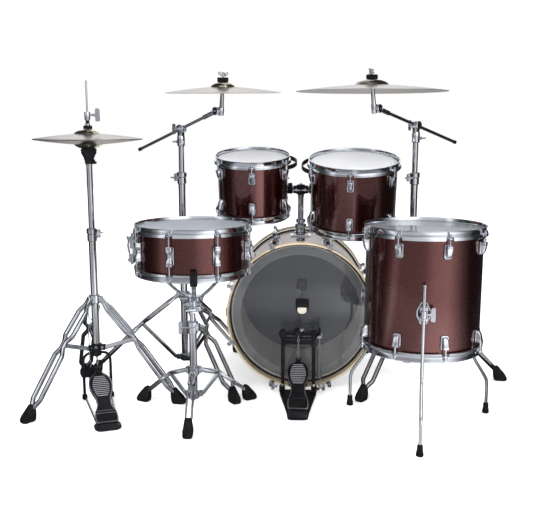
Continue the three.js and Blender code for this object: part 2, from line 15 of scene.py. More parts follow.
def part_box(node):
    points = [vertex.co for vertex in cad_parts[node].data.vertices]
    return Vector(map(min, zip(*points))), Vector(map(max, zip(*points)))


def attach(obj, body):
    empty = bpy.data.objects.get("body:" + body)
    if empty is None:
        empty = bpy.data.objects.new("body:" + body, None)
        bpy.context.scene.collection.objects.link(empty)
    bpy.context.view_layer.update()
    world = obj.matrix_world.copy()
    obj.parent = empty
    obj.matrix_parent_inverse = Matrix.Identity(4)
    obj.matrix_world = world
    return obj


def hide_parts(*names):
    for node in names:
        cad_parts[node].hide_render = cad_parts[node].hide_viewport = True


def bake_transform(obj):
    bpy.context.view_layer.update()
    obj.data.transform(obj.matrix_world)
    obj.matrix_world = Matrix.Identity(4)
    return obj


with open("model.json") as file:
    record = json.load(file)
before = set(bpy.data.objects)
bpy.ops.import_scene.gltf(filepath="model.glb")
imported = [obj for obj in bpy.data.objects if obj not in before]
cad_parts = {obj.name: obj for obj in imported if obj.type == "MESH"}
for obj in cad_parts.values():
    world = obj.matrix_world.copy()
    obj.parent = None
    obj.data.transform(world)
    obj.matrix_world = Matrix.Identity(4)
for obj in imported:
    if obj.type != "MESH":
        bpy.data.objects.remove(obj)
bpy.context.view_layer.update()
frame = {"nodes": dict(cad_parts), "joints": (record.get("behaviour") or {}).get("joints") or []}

MM = 0.001
DRUM_SIDES = 128
TUBE_SIDES = 24
WIRE_SIDES = 10
JOINTS = {joint["name"]: joint for joint in frame["joints"]}


# ---------- shapes ----------
class Shape:
    """Points in millimetres, and the faces over them."""

    def __init__(self, points, faces):
        self.points = np.asarray(points, float)
        self.faces = faces

    def at(self, matrix):
        turn = np.array(matrix)
        return Shape(self.points @ turn[:3, :3].T + turn[:3, 3], self.faces)

    def shift(self, x=0.0, y=0.0, z=0.0):
        return Shape(self.points + (x, y, z), self.faces)

    def mirrored(self):
        """The same shape on the other side of the drum's middle."""
        return Shape(self.points * (1, 1, -1), self.faces)


def merge(shapes):
    points, faces, start = [], [], 0
    for shape in shapes:
        points.append(shape.points)
        faces += [[i + start for i in face] for face in shape.faces]
        start += len(shape.points)
    return Shape(np.vstack(points), faces)


def turn_z(degrees):
    return Matrix.Rotation(math.radians(degrees), 4, "Z")


def turn_x(degrees):
    return Matrix.Rotation(math.radians(degrees), 4, "X")


def turn_y(degrees):
    return Matrix.Rotation(math.radians(degrees), 4, "Y")


def place(x=0.0, y=0.0, z=0.0):
    return Matrix.Translation((x, y, z))


def aimed(origin, along, across=(1, 0, 0)):
    """A frame at origin with +Z along one direction and +X as near as it gets to another."""
    up = Vector(along).normalized()
    side = Vector(across) - Vector(across).dot(up) * up
    if side.length < 1e-6:
        side = up.orthogonal()
    side.normalize()
    matrix = Matrix((side, up.cross(side), up)).transposed().to_4x4()
    matrix.translation = Vector(origin)
    return matrix


def lathe(profile, sides=TUBE_SIDES, hollow=False):
    """[radius, height] points turned about Z. A hollow profile closes on itself."""
    angles = np.arange(sides) * 2 * math.pi / sides
    points, rings = [], []
    for radius, height in profile:
        if radius < 1e-6:
            rings.append([len(points)] * sides)
            points.append((0, 0, height))
            continue
        rings.append(list(range(len(points), len(points) + sides)))
        points += [(radius * math.cos(a), radius * math.sin(a), height) for a in angles]
    pairs = list(zip(rings, rings[1:]))
    if hollow:
        pairs.append((rings[-1], rings[0]))
    faces = []
    for low, high in pairs:
        for i in range(sides):
            j = (i + 1) % sides
            corners = [low[i], low[j], high[j], high[i]]
            face = list(dict.fromkeys(corners))
            if len(face) > 2:
                faces.append(face)
    return Shape(points, faces)


def arc(profile, start, end, steps):
    """A closed [radius, height] outline swept about Z between two angles in degrees."""
    sections = []
    for k in range(steps + 1):
        angle = math.radians(start + (end - start) * k / steps)
        sections.append([(r * math.cos(angle), r * math.sin(angle), z) for r, z in profile])
    return loft(sections)


def loft(sections):
    """Skins closed sections that have the same number of points, and caps both ends."""
    count = len(sections[0])
    points = [point for section in sections for point in section]
    faces = [list(range(count))[::-1]]
    for k in range(len(sections) - 1):
        for i in range(count):
            j = (i + 1) % count
            low, high = k * count, (k + 1) * count
            faces.append([low + i, low + j, high + j, high + i])
    faces.append([len(points) - count + i for i in range(count)])
    return Shape(points, faces)


def cylinder(radius, low, high, edge=0.6, sides=TUBE_SIDES):
    edge = min(edge, radius / 2, (high - low) / 2.5)
    return lathe([
        (0, low), (radius - edge, low), (radius, low + edge),
        (radius, high - edge), (radius - edge, high), (0, high),
    ], sides)


def tube_ring(inner, outer, low, high, edge=0.5, sides=TUBE_SIDES):
    return lathe([
        (inner, low + edge), (inner + edge, low), (outer - edge, low), (outer, low + edge),
        (outer, high - edge), (outer - edge, high), (inner + edge, high), (inner, high - edge),
    ], sides, hollow=True)


def rod(start, end, radius, edge=0.6, sides=TUBE_SIDES):
    start, end = Vector(start), Vector(end)
    length = (end - start).length
    return cylinder(radius, 0, length, edge, sides).at(aimed(start, end - start))


def smooth_path(points, steps=6):
    """A Catmull-Rom curve through the points."""
    ends = [Vector(points[0]) * 2 - Vector(points[1])]
    ends += [Vector(point) for point in points]
    ends.append(Vector(points[-1]) * 2 - Vector(points[-2]))
    path = []
    for before, a, b, after in zip(ends, ends[1:], ends[2:], ends[3:]):
        for k in range(steps):
            t = k / steps
            path.append(0.5 * (
                2 * a + (b - before) * t + (2 * before - 5 * a + 4 * b - after) * t ** 2
                + (3 * a - 3 * b + after - before) * t ** 3
            ))
    path.append(ends[-2])
    return path


def sweep(path, outline, closed=False):
    """Carries a 2D outline along a path without twisting it."""
    path = [Vector(point) for point in path]
    count = len(path)
    sections, side = [], None
    for i, point in enumerate(path):
        before = path[i - 1] if i or closed else point
        after = path[(i + 1) % count] if i < count - 1 or closed else point
        forward = (after - before).normalized()
        if side is None:
            side = Vector((0, 0, 1)).cross(forward)
            if side.length < 0.05:
                side = Vector((0, 1, 0))
        side = (side - side.dot(forward) * forward).normalized()
        lift = forward.cross(side)
        sections.append([tuple(point + side * u + lift * v) for u, v in outline])
    shape = loft(sections)
    if not closed:
        return shape
    size = len(outline)
    last = (count - 1) * size
    joints = [[last + i, last + (i + 1) % size, (i + 1) % size, i] for i in range(size)]
    return Shape(shape.points, shape.faces[1:-1] + joints)


def circle(radius, sides=WIRE_SIDES):
    steps = [2 * math.pi * i / sides for i in range(sides)]
    return [(radius * math.cos(a), radius * math.sin(a)) for a in steps]


def wire(points, radius, steps=6, sides=WIRE_SIDES):
    return sweep(smooth_path(points, steps), circle(radius, sides))


def rounded(width, height, radius, steps=4):
    """A rectangle's outline with round corners."""
    radius = min(radius, width / 2 - 0.01, height / 2 - 0.01)
    outline = []
    for quarter, (sx, sy) in enumerate([(1, 1), (-1, 1), (-1, -1), (1, -1)]):
        for k in range(steps + 1):
            angle = math.pi / 2 * (quarter + k / steps)
            x = sx * (width / 2 - radius) + radius * math.cos(angle)
            y = sy * (height / 2 - radius) + radius * math.sin(angle)
            outline.append((x, y))
    return outline


def inset(outline, amount):
    """Moves each point of an outline inwards, square to the line between its two neighbours."""
    count = len(outline)
    area = sum(
        outline[i][0] * outline[(i + 1) % count][1] - outline[(i + 1) % count][0] * outline[i][1]
        for i in range(count)
    )
    sign = 1 if area > 0 else -1
    moved = []
    for i, (x, y) in enumerate(outline):
        ax, ay = outline[i - 1]
        bx, by = outline[(i + 1) % count]
        normal = Vector((-(by - ay), bx - ax))
        normal.normalize()
        moved.append((x + sign * amount * normal.x, y + sign * amount * normal.y))
    return moved


def plate(outline, low, high, edge=0.6):
    """An outline in XY made solid between two heights, with its edges eased."""
    small = inset(outline, edge)
    levels = [(small, low), (outline, low + edge), (outline, high - edge), (small, high)]
    return loft([[(x, y, z) for x, y in points] for points, z in levels])


def box(size, centre=(0, 0, 0), edge=1.0):
    """A block with eased edges all round."""
    x, y, z = size
    body = plate(rounded(x, y, edge, 2), -z / 2, z / 2, min(edge, z / 3) * 0.7)
    return body.shift(*centre)


# ---------- pieces ----------
SHARP_EDGE = math.radians(38)


def piece(name, shapes, material, body, replaces=(), where=None):
    """Makes one object from shapes in millimetres. It rides on a CAD body, if one is given."""
    whole = merge(shapes) if isinstance(shapes, list) else shapes
    mesh = bpy.data.meshes.new(name)
    mesh.from_pydata((whole.points * MM).tolist(), [], whole.faces)
    work = bmesh.new()
    work.from_mesh(mesh)
    bmesh.ops.recalc_face_normals(work, faces=work.faces)
    work.to_mesh(mesh)
    work.free()
    mesh.shade_smooth()
    mesh.set_sharp_from_angle(angle=SHARP_EDGE)
    mesh.materials.append(material)
    made = bpy.data.objects.new(name, mesh)
    bpy.context.scene.collection.objects.link(made)
    if where is not None:
        made.matrix_world = where
    if body:
        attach(made, body)
    if replaces:
        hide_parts(*replaces)
    return made


def middle(node):
    low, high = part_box(node)
    return (low + high) / 2


def drum_frame(name):
    """The frame of a drum: its middle, +Z out of the batter side and +X along the row's X."""
    batter, other = middle(name[0]), middle(name[1])
    mesh = frame["nodes"][name[0]].data
    normal = max(mesh.polygons, key=lambda face: face.area).normal.copy()
    if normal.dot(batter - other) < 0:
        normal.negate()
    return aimed((batter + other) / 2, normal)


def joint_point(name):
    return Vector(JOINTS[name]["pos_m"])


def joint_frame(name):
    """The frame of a hinge: its point, +Z along the row's Z and +X along its axis."""
    return aimed(joint_point(name), (0, 0, 1), JOINTS[name]["axis"])


def standing(point, degrees=0.0):
    """An upright frame on the floor under a point."""
    return place(point[0], point[1], 0) @ turn_z(degrees)


# ---------- materials ----------
class Nodes:
    """A short way to write a material's nodes."""

    def __init__(self, name, **settings):
        self.material = bpy.data.materials.new(name)
        self.material.use_nodes = True
        self.tree = self.material.node_tree
        self.shader = self.tree.nodes["Principled BSDF"]
        for socket, value in settings.items():
            self.shader.inputs[socket.replace("_", " ")].default_value = value
        self.place = self.tree.nodes.new("ShaderNodeTexCoord").outputs["Object"]

    def node(self, kind, inputs=None, **settings):
        made = self.tree.nodes.new("ShaderNode" + kind)
        for key, value in settings.items():
            setattr(made, key, value)
        for key, value in (inputs or {}).items():
            if isinstance(value, bpy.types.NodeSocket):
                self.tree.links.new(value, made.inputs[key])
            else:
                made.inputs[key].default_value = value
        return made

    def noise(self, scale, detail=3.0, roughness=0.5, where=None):
        values = {"Vector": where or self.place, "Scale": scale, "Detail": detail, "Roughness": roughness}
        return self.node("TexNoise", values).outputs["Fac"]

    def stretched(self, x, y, z):
        return self.node("Mapping", {"Vector": self.place, "Scale": (x, y, z)}).outputs["Vector"]

    def ramp(self, factor, *stops):
        made = self.node("ValToRGB", {"Fac": factor})
        elements = made.color_ramp.elements
        while len(elements) < len(stops):
            elements.new(0.5)
        for element, (position, color) in zip(elements, stops):
            element.position = position
            element.color = (*color, 1)
        return made.outputs["Color"]

    def radius(self):
        """How far each point lies from the object's Z axis."""
        return self.node("VectorMath", {0: self.stretched(1.0, 1.0, 0.0)}, operation="LENGTH").outputs[1]

    def span(self, factor, low, high):
        values = {"Value": factor, "To Min": low, "To Max": high}
        return self.node("MapRange", values).outputs["Result"]

    def math(self, operation, a, b=0.0):
        return self.node("Math", {0: a, 1: b}, operation=operation).outputs[0]

    def mix(self, factor, a, b):
        made = self.node("Mix", data_type="RGBA")
        for index, value in ((0, factor), (6, a), (7, b)):
            if isinstance(value, bpy.types.NodeSocket):
                self.tree.links.new(value, made.inputs[index])
            else:
                made.inputs[index].default_value = value if index == 0 else (*value, 1)
        return made.outputs[2]

    def set(self, socket, value):
        self.tree.links.new(value, self.shader.inputs[socket])

    def surface(self, factor, dark, light, rough, stops=(0.3, 0.7)):
        """Colour and roughness that both follow one factor."""
        self.set("Base Color", self.ramp(factor, (stops[0], dark), (stops[1], light)))
        self.set("Roughness", self.span(factor, *rough))

    def bump(self, height, strength, distance):
        values = {"Height": height, "Strength": strength, "Distance": distance}
        self.set("Normal", self.node("Bump", values).outputs["Normal"])


def lacquer():
    """Dark red-brown lacquer: a fine metal flake glints under a deep gloss coat."""
    m = Nodes("lacquer", Metallic=1.0, Coat_Weight=1.0, Coat_Roughness=0.05, Coat_IOR=1.6)
    cloud = m.noise(9.0, 4.0)
    base = m.ramp(cloud, (0.3, (0.120, 0.0260, 0.0240)), (0.7, (0.155, 0.0360, 0.0320)))
    flake = m.node("TexVoronoi", {"Vector": m.place, "Scale": 1500.0}).outputs["Color"]
    glint = m.node("SeparateColor", {"Color": flake}).outputs["Red"]
    bright = m.math("POWER", glint, 9.0)
    m.set("Base Color", m.mix(bright, base, (0.36, 0.15, 0.12)))
    m.set("Roughness", m.span(glint, 0.18, 0.30))
    return m.material


def chrome():
    """Polished chrome with the faint haze that handling leaves."""
    m = Nodes("chrome", Metallic=1.0)
    haze = m.noise(22.0, 5.0)
    m.surface(haze, (0.72, 0.75, 0.80), (0.83, 0.86, 0.90), (0.05, 0.15))
    m.bump(m.noise(420.0, 2.0), 0.02, 0.0004)
    return m.material


def satin_steel():
    """Plainer steel for springs, wires, screws and chain links."""
    m = Nodes("satin_steel", Metallic=1.0)
    grain = m.noise(300.0, 4.0)
    m.surface(grain, (0.42, 0.43, 0.45), (0.60, 0.61, 0.63), (0.22, 0.38))
    m.bump(grain, 0.05, 0.0003)
    return m.material


def maple():
    """Bass hoop plies: pale maple, its grain running round the hoop."""
    m = Nodes("maple", Coat_Weight=0.5, Coat_Roughness=0.12)
    split = m.node("SeparateXYZ", {"Vector": m.place})
    turn = m.math("ARCTAN2", split.outputs["Y"], split.outputs["X"])
    length = m.node("VectorMath", {0: m.place}, operation="LENGTH").outputs[1]
    along = m.node("CombineXYZ", {
        "X": m.math("MULTIPLY", turn, 1.6),
        "Y": m.math("MULTIPLY", split.outputs["Z"], 90.0),
        "Z": m.math("MULTIPLY", length, 60.0),
    }).outputs["Vector"]
    grain = m.noise(2.6, 6.0, 0.62, along)
    fleck = m.noise(16.0, 3.0, 0.5, along)
    wood = m.ramp(grain, (0.28, (0.42, 0.33, 0.21)), (0.52, (0.55, 0.46, 0.32)), (0.78, (0.64, 0.55, 0.41)))
    m.set("Base Color", m.mix(m.math("MULTIPLY", fleck, 0.35), wood, (0.33, 0.24, 0.14)))
    m.set("Roughness", m.span(grain, 0.32, 0.48))
    m.bump(fleck, 0.08, 0.0004)
    return m.material


def inner_plies():
    """The inside of a shell: grey-washed birch with upright joints and grain."""
    m = Nodes("inner_plies")
    grain = m.noise(30.0, 6.0, 0.6, m.stretched(1.0, 1.0, 0.08))
    m.surface(grain, (0.66, 0.65, 0.62), (0.82, 0.80, 0.765), (0.5, 0.7))
    m.bump(grain, 0.12, 0.0005)
    return m.material


def coated_film(name, light, dark):
    """A coated head: a fine sprayed tooth and faint stick wear in the middle."""
    m = Nodes(name)
    tooth = m.noise(1400.0, 2.0)
    cloud = m.noise(7.0, 5.0)
    m.set("Base Color", m.ramp(cloud, (0.3, dark), (0.7, light)))
    m.set("Roughness", m.span(tooth, 0.42, 0.62))
    m.bump(tooth, 0.15, 0.0003)
    return m.material


def clear_film(name, least, tint, ior=1.5):
    """A clear head: see-through face on, and a mirror at a low angle."""
    m = Nodes(name, IOR=ior)
    haze = m.noise(6.0, 4.0)
    slant = m.node("Fresnel", {"IOR": 1.45}).outputs["Fac"]
    m.set("Base Color", m.ramp(haze, (0.3, tint), (0.7, tuple(0.9 * c for c in tint))))
    m.set("Roughness", m.span(haze, 0.02, 0.07))
    m.set("Alpha", m.span(slant, least, 0.95))
    return m.material


def dark_film():
    """The front head, smoky and half matt."""
    m = Nodes("dark_film", Coat_Weight=0.3, Coat_Roughness=0.15)
    cloud = m.noise(4.0, 5.0)
    m.surface(cloud, (0.076, 0.083, 0.104), (0.096, 0.102, 0.124), (0.32, 0.5))
    return m.material


def bronze():
    """Lathed cymbal bronze: fine turned grooves and soft rings of tone, and a painted highlight: the bell
    is coloured bright cream. The bell is also glossier.
    """
    m = Nodes("bronze", Metallic=1.0, Anisotropic=0.5)
    radius = m.radius()
    rings = m.node("CombineXYZ", {"X": radius, "Y": 0.0, "Z": 0.0}).outputs["Vector"]
    tone = m.noise(55.0, 4.0, 0.6, rings)
    groove = m.noise(900.0, 1.0, 0.5, rings)
    patina = m.noise(11.0, 5.0)
    metal = m.ramp(tone, (0.3, (0.40, 0.372, 0.33)), (0.7, (0.56, 0.525, 0.475)))
    skin = m.mix(m.math("MULTIPLY", patina, 0.3), metal, (0.33, 0.315, 0.29))
    # Painted highlight: inside this radius the bell is coloured bright cream in place of bronze. Its lower
    # roughness below is its real brilliant finish.
    bell = m.math("LESS_THAN", radius, 0.046)
    m.set("Base Color", m.mix(bell, skin, (0.95, 0.90, 0.72)))
    shine = m.math("SUBTRACT", 1.0, m.math("MULTIPLY", bell, 0.5))
    m.set("Roughness", m.math("MULTIPLY", m.span(tone, 0.20, 0.34), shine))
    m.bump(groove, 0.22, 0.0004)
    return m.material


def black_steel():
    """Black powder coat with its orange-peel and a little wear."""
    m = Nodes("black_steel", Specular_IOR_Level=0.17)
    peel = m.noise(500.0, 3.0)
    wear = m.noise(14.0, 5.0)
    m.surface(wear, (0.0045, 0.0045, 0.006), (0.011, 0.011, 0.014), (0.28, 0.45), (0.35, 0.75))
    m.bump(peel, 0.1, 0.0004)
    return m.material


def rubber():
    """Moulded rubber, dull and slightly dusty."""
    m = Nodes("rubber", Specular_IOR_Level=0.07)
    dust = m.noise(40.0, 5.0)
    m.surface(dust, (0.0045, 0.0045, 0.005), (0.012, 0.012, 0.0125), (0.55, 0.8), (0.35, 0.8))
    m.bump(m.noise(900.0, 2.0), 0.12, 0.0003)
    return m.material


def pad_grey():
    """Grey rubber of the footboards' ribs and pads."""
    m = Nodes("pad_grey")
    dust = m.noise(60.0, 4.0)
    m.surface(dust, (0.20, 0.205, 0.225), (0.28, 0.285, 0.31), (0.45, 0.65), (0.3, 0.75))
    m.bump(m.noise(800.0, 2.0), 0.1, 0.0003)
    return m.material


def felt(name, light, dark):
    """Pressed wool felt with short fibres."""
    m = Nodes(name, Sheen_Weight=0.04, Sheen_Roughness=0.5, Specular_IOR_Level=0.1)
    fibre = m.noise(700.0, 6.0, 0.75)
    m.surface(fibre, dark, light, (0.85, 1.0), (0.35, 0.65))
    m.bump(fibre, 0.6, 0.0008)
    return m.material


LACQUER = lacquer()
CHROME = chrome()
STEEL = satin_steel()
MAPLE = maple()
INNER = inner_plies()
WHITE_FILM = coated_film("white_coating", (0.86, 0.87, 0.89), (0.80, 0.81, 0.83))
GREY_FILM = coated_film("grey_coating", (0.33, 0.355, 0.405), (0.29, 0.31, 0.355))
CLEAR_FILM = clear_film("clear_film", 0.10, (0.42, 0.44, 0.47))
BATTER_FILM = clear_film("bass_clear_film", 0.13, (0.06, 0.063, 0.07), 3.4)
RING_FILM = clear_film("ring_film", 0.22, (0.45, 0.47, 0.48))
DARK_FILM = dark_film()
BRONZE = bronze()
BLACK = black_steel()
RUBBER = rubber()
PAD_GREY = pad_grey()
BLACK_FELT = felt("black_felt", (0.009, 0.009, 0.010), (0.004, 0.004, 0.005))
CREAM_FELT = felt("cream_felt", (0.66, 0.62, 0.54), (0.50, 0.46, 0.39))

# ---------- drum hardware, in a drum's frame ----------
FACING_OUT = aimed((0, 0, 0), (1, 0, 0), (0, 1, 0))  # lays a plate's outline against the shell
ROD_OUT = 13.5  # the tension rods run this far outside the shell
ROD_RADIUS = 2.9
BAND_LOW = 14.4  # how far the hoop's lower band reaches below the bearing edge
LUG_HALF = 18
BRACKET_CORNER = 3.5


class Drum:
    def __init__(self, name, radius, depth, wall, rise, lugs, first, body, heads=None):
        self.name, self.radius, self.depth, self.wall, self.rise = name, radius, depth, wall, rise
        self.body = body
        self.edge = depth / 2
        self.angles = [first + 360 / lugs * i for i in range(lugs)]
        self.heads = heads or (name + "_batter_head", name + "_bottom_head")
        self.where = drum_frame(self.heads)

    def local(self, point):
        """A point of the row's frame, in metres, as millimetres in this drum's frame."""
        return self.where.inverted() @ Vector(point) / MM

    def piece(self, name, shapes, material, replaces=()):
        return piece(self.name + "_" + name, shapes, material, self.body, replaces, self.where)


def casing(levels, corner=BRACKET_CORNER):
    """A lug's casing on the shell, from (height, half width, depth) levels with round corners."""
    sections = []
    for height, half, depth in levels:
        bend = min(corner, half - 0.5, depth - 0.5)
        section = [(0, -half, height)]
        for side, start in ((-1, -90), (1, 0)):
            for k in range(4):
                angle = math.radians(start + 30 * k)
                x = depth - bend + bend * math.cos(angle)
                y = side * (half - bend) + bend * math.sin(angle)
                section.append((x, y, height))
        section.append((0, half, height))
        sections.append(section)
    return loft(sections)


def lug_casing():
    return casing([
        (-18, 6.0, 7.5), (-17, 7.0, 9.5), (-9, 8.2, 14.5), (6, 9.4, 18.0),
        (15, 10.0, 19.6), (17, 9.6, 19.2), (18, 8.6, 18.0),
    ])


def lug_plate(height, swell, low, high):
    return plate(rounded(24 + swell, height + swell, 7 + swell / 2), low, high, 0.5).at(FACING_OUT)


def shell_shapes(drum):
    """The outer lacquered ply and the inner plies, with the bearing edge on the inner ones."""
    r, e = drum.radius, drum.edge
    split = r - drum.wall / 2
    outer = lathe([
        (split, -e + 1), (r - 1.2, -e + 0.6), (r, -e + 1.8),
        (r, e - 1.8), (r - 1.2, e - 0.6), (split, e - 1),
    ], DRUM_SIDES, hollow=True)
    inner = lathe([
        (r - drum.wall, -e + 4), (split - 0.1, -e), (split - 0.1, e), (r - drum.wall, e - 4),
    ], DRUM_SIDES, hollow=True)
    return outer, inner


def skin_shape(drum):
    """A head's film: flat, then folded down over the bearing edge into its hoop."""
    r, e = drum.radius, drum.edge
    return lathe([
        (0, e + 0.2), (r - 5, e + 0.2), (r - 1, e - 0.2), (r + 0.5, e - 1.6), (r + 0.9, e - 7),
        (r + 1.8, e - 7), (r + 1.5, e - 1.2), (r - 0.4, e + 0.5), (r - 5, e + 1.0), (0, e + 1.0),
    ], DRUM_SIDES)


def flesh_hoop(drum):
    r, e = drum.radius, drum.edge
    return tube_ring(r + 1.2, r + 4.0, e - 12, e - 5, 0.6, DRUM_SIDES)


def steel_hoop(drum):
    """A flanged hoop: a rolled top edge, an upright wall, a band below, and an ear at each rod."""
    r, e = drum.radius, drum.edge
    inner, top = r + 4.4, e + drum.rise + 2.5
    wall = lathe([
        (inner, e - 5), (inner, top - 1.6), (inner + 0.6, top - 0.5), (inner + 1.8, top),
        (inner + 4.0, top - 0.1), (inner + 4.9, top - 1.2), (inner + 4.2, top - 2.5),
        (inner + 2.7, top - 3.0), (inner + 2.2, top - 4.2), (inner + 2.2, e - 5),
    ], DRUM_SIDES, hollow=True)
    band = [
        (inner + 0.4, e - 2.6), (r + 9.8, e - 3.2), (r + 11.0, e - 4.4), (r + 11.6, e - 7.5),
        (r + 13.0, e - BAND_LOW + 0.8), (r + 12.4, e - BAND_LOW), (r + 11.4, e - BAND_LOW + 0.4),
        (r + 9.9, e - 7.6), (r + 8.6, e - 5.2), (inner + 0.4, e - 4.6),
    ]
    gap = math.degrees(12 / (r + 11))
    shapes = [wall]
    spacing = 360 / len(drum.angles)
    for angle in drum.angles:
        shapes.append(arc(band, angle + gap, angle + spacing - gap, 20))
        ear = box((15, 13, 7), (r + 11.5, 0, e - 7.2), 3.0)
        web = box((9, 9, 3), (r + 8, 0, e - 3.6), 1.2)
        shapes += [ear.at(turn_z(angle)), web.at(turn_z(angle))]
    return merge(shapes)


def tension_rod(drum, low):
    """A T-rod from its washer on the hoop's ear down to the lug."""
    e = drum.edge
    return merge([
        cylinder(ROD_RADIUS, low, e - 2, 0.3, 12),
        cylinder(6.6, e - 3.8, e - 2.4, 0.3, 20),
        cylinder(4.6, e - 2.5, e + 3.2, 0.8, 20),
        box((5.6, 5.6, 4.4), (0, 0, e + 5.0), 0.8),
    ]).shift(drum.radius + ROD_OUT)


def add_lugs_and_rods(drum):
    """A lug and a rod at each angle, for the batter side and for the other side."""
    height = drum.edge - BAND_LOW - 14 - LUG_HALF
    chrome, seats, rods = [], [], []
    body = merge([lug_casing(), lug_plate(43, 0, 0.6, 3.0)]).shift(drum.radius, 0, height)
    nut = tube_ring(ROD_RADIUS + 0.3, 5.0, 17.6, 19.4, 0.3, 16)
    nut = nut.shift(drum.radius + ROD_OUT, 0, height)
    seat = lug_plate(43, 3.0, -0.6, 0.9).shift(drum.radius, 0, height)
    shank = tension_rod(drum, height + 8)
    for angle in drum.angles:
        for side in (1, -1):
            for shape, group in ((body, chrome), (nut, rods), (seat, seats), (shank, rods)):
                shape = shape if side > 0 else shape.mirrored()
                group.append(shape.at(turn_z(angle)))
    drum.piece("lugs", chrome, CHROME)
    drum.piece("lug_seats", seats, RUBBER)
    drum.piece("tension_rods", rods, CHROME)


def add_shell_and_heads(drum, films, shell_nodes):
    outer, inner = shell_shapes(drum)
    drum.piece("lacquered_shell", outer, LACQUER, shell_nodes)
    drum.piece("inner_plies", inner, INNER)
    skin, ring = skin_shape(drum), flesh_hoop(drum)
    drum.piece("batter_skin", skin, films[0], [drum.heads[0]])
    drum.piece("resonant_skin", skin.mirrored(), films[1], [drum.heads[1]])
    metal = BLACK if drum.name == "bass" else STEEL
    drum.piece("flesh_hoops", [ring, ring.mirrored()], metal)


def add_steel_hoops(drum, nodes):
    hoop = steel_hoop(drum)
    drum.piece("batter_rim", hoop, CHROME, [nodes[0]])
    drum.piece("resonant_rim", hoop.mirrored(), CHROME, [nodes[1]])


def wing_bolt(length=16, span=34, lift=13):
    """A T-shaped wing bolt along +Z, its wing plate upright in X."""
    wing = plate(rounded(span, lift, 4.5), -2.6, 2.6, 1.0)
    wing = wing.at(aimed((0, 0, length + lift / 2 - 1), (0, 1, 0), (1, 0, 0)))
    return merge([
        cylinder(3.6, -2, length, 0.4, 16), cylinder(6.2, -1, 3, 0.6, 20),
        cylinder(5.4, length - 5, length + 4, 1.0, 20), wing,
    ])


def hex_bolt(radius=5.0, height=4.5):
    """A hexagon bolt head and its washer, on +Z."""
    return merge([cylinder(radius, 0.8, height, 0.5, 6), cylinder(radius + 1.4, 0, 1.2, 0.3, 20)])


# ---------- rack toms ----------
TOM1 = Drum("tom1", 127, 203, 7, 10, 6, -88, "tom1")
TOM2 = Drum("tom2", 152.4, 229, 7, 10, 6, -97.5, "tom2")


def suspension_strap(tom, start, end):
    """A flat strap that hangs from two top rods and stands off the shell between them."""
    sections = []
    steps = 28
    for k in range(steps + 1):
        share = k / steps
        angle = math.radians(start + (end - start) * share)
        stand = tom.radius + ROD_OUT + 4 + 17 * math.sin(math.pi * share) ** 0.6
        low, high = tom.edge - 28, tom.edge - 12
        section = []
        for r, z in ((stand, low), (stand + 3, low + 1), (stand + 3, high - 1), (stand, high)):
            section.append((r * math.cos(angle), r * math.sin(angle), z))
        sections.append(section)
    return loft(sections)


def add_tom_mount(tom, bracket_angle, strap, hinge):
    """The bracket on the shell, the rod into it and the hub that turns on the post's block."""
    r = tom.radius
    socket_x = r + 20
    pad = arc([(r + 0.3, -50), (r + 3.4, -50), (r + 3.4, 50), (r + 0.3, 50)],
              bracket_angle - 11, bracket_angle + 11, 10)
    face = arc([(r + 3.2, -46), (r + 6.2, -46), (r + 7.2, 0), (r + 6.2, 46), (r + 3.2, 46)],
               bracket_angle - 9.4, bracket_angle + 9.4, 10)
    socket = merge([
        box((24, 30, 40), (socket_x - 3, 0, 0), 5.0),
        cylinder(14, -17, 17, 2.0).shift(socket_x + 4),
        wing_bolt(12).at(place(socket_x + 4, -14, 0) @ turn_x(90)),
        *[hex_bolt().at(place(r + 7, 0, z) @ turn_y(90)) for z in (34, -34)],
    ])
    tom.piece("bracket_pad", pad, RUBBER)
    tom.piece("bracket", [face, socket.at(turn_z(bracket_angle))], CHROME, [tom.name + "_holder"])
    hub = tom.local(joint_point(hinge))
    elbow = turn_z(bracket_angle) @ Vector((socket_x + 4, 0, 0))
    across = Vector((1 if hub.x < elbow.x else -1, 0, 0))
    arm = wire([hub, hub.lerp(elbow, 0.35) + across * 2, hub.lerp(elbow, 0.7), elbow], 6.2, 6, 16)
    tom.piece("holder_rod", arm, CHROME)
    along = aimed(hub, (1, 0, 0))
    clamp = merge([
        cylinder(16.5, -10.6, 10.6, 2.0),
        box((30, 24, 17), (9, 0, 0), 3.5),
    ]).at(along)
    bolts = [hex_bolt(6.5, 6).at(along @ place(0, 0, z) @ turn_x(flip))
             for z, flip in ((-10.5, 180), (10.5, 0))]
    tom.piece("holder_hub", clamp, BLACK)
    tom.piece("holder_bolts", bolts, CHROME)
    ends = [turn_z(angle) @ Vector((r + ROD_OUT, 0, tom.edge - 20)) for angle in strap]
    studs = [cylinder(6.4, -7, 7, 1.0, 20).at(place(*end)) for end in ends]
    tom.piece("suspension_strap", suspension_strap(tom, *strap), BLACK)
    tom.piece("strap_collars", studs, CHROME)


def add_rack_tom(tom, bracket_angle, strap, hinge):
    add_shell_and_heads(tom, (WHITE_FILM, CLEAR_FILM), [tom.name + "_shell"])
    add_steel_hoops(tom, (tom.name + "_top_hoop", tom.name + "_bottom_hoop"))
    add_lugs_and_rods(tom)
    add_tom_mount(tom, bracket_angle, strap, hinge)


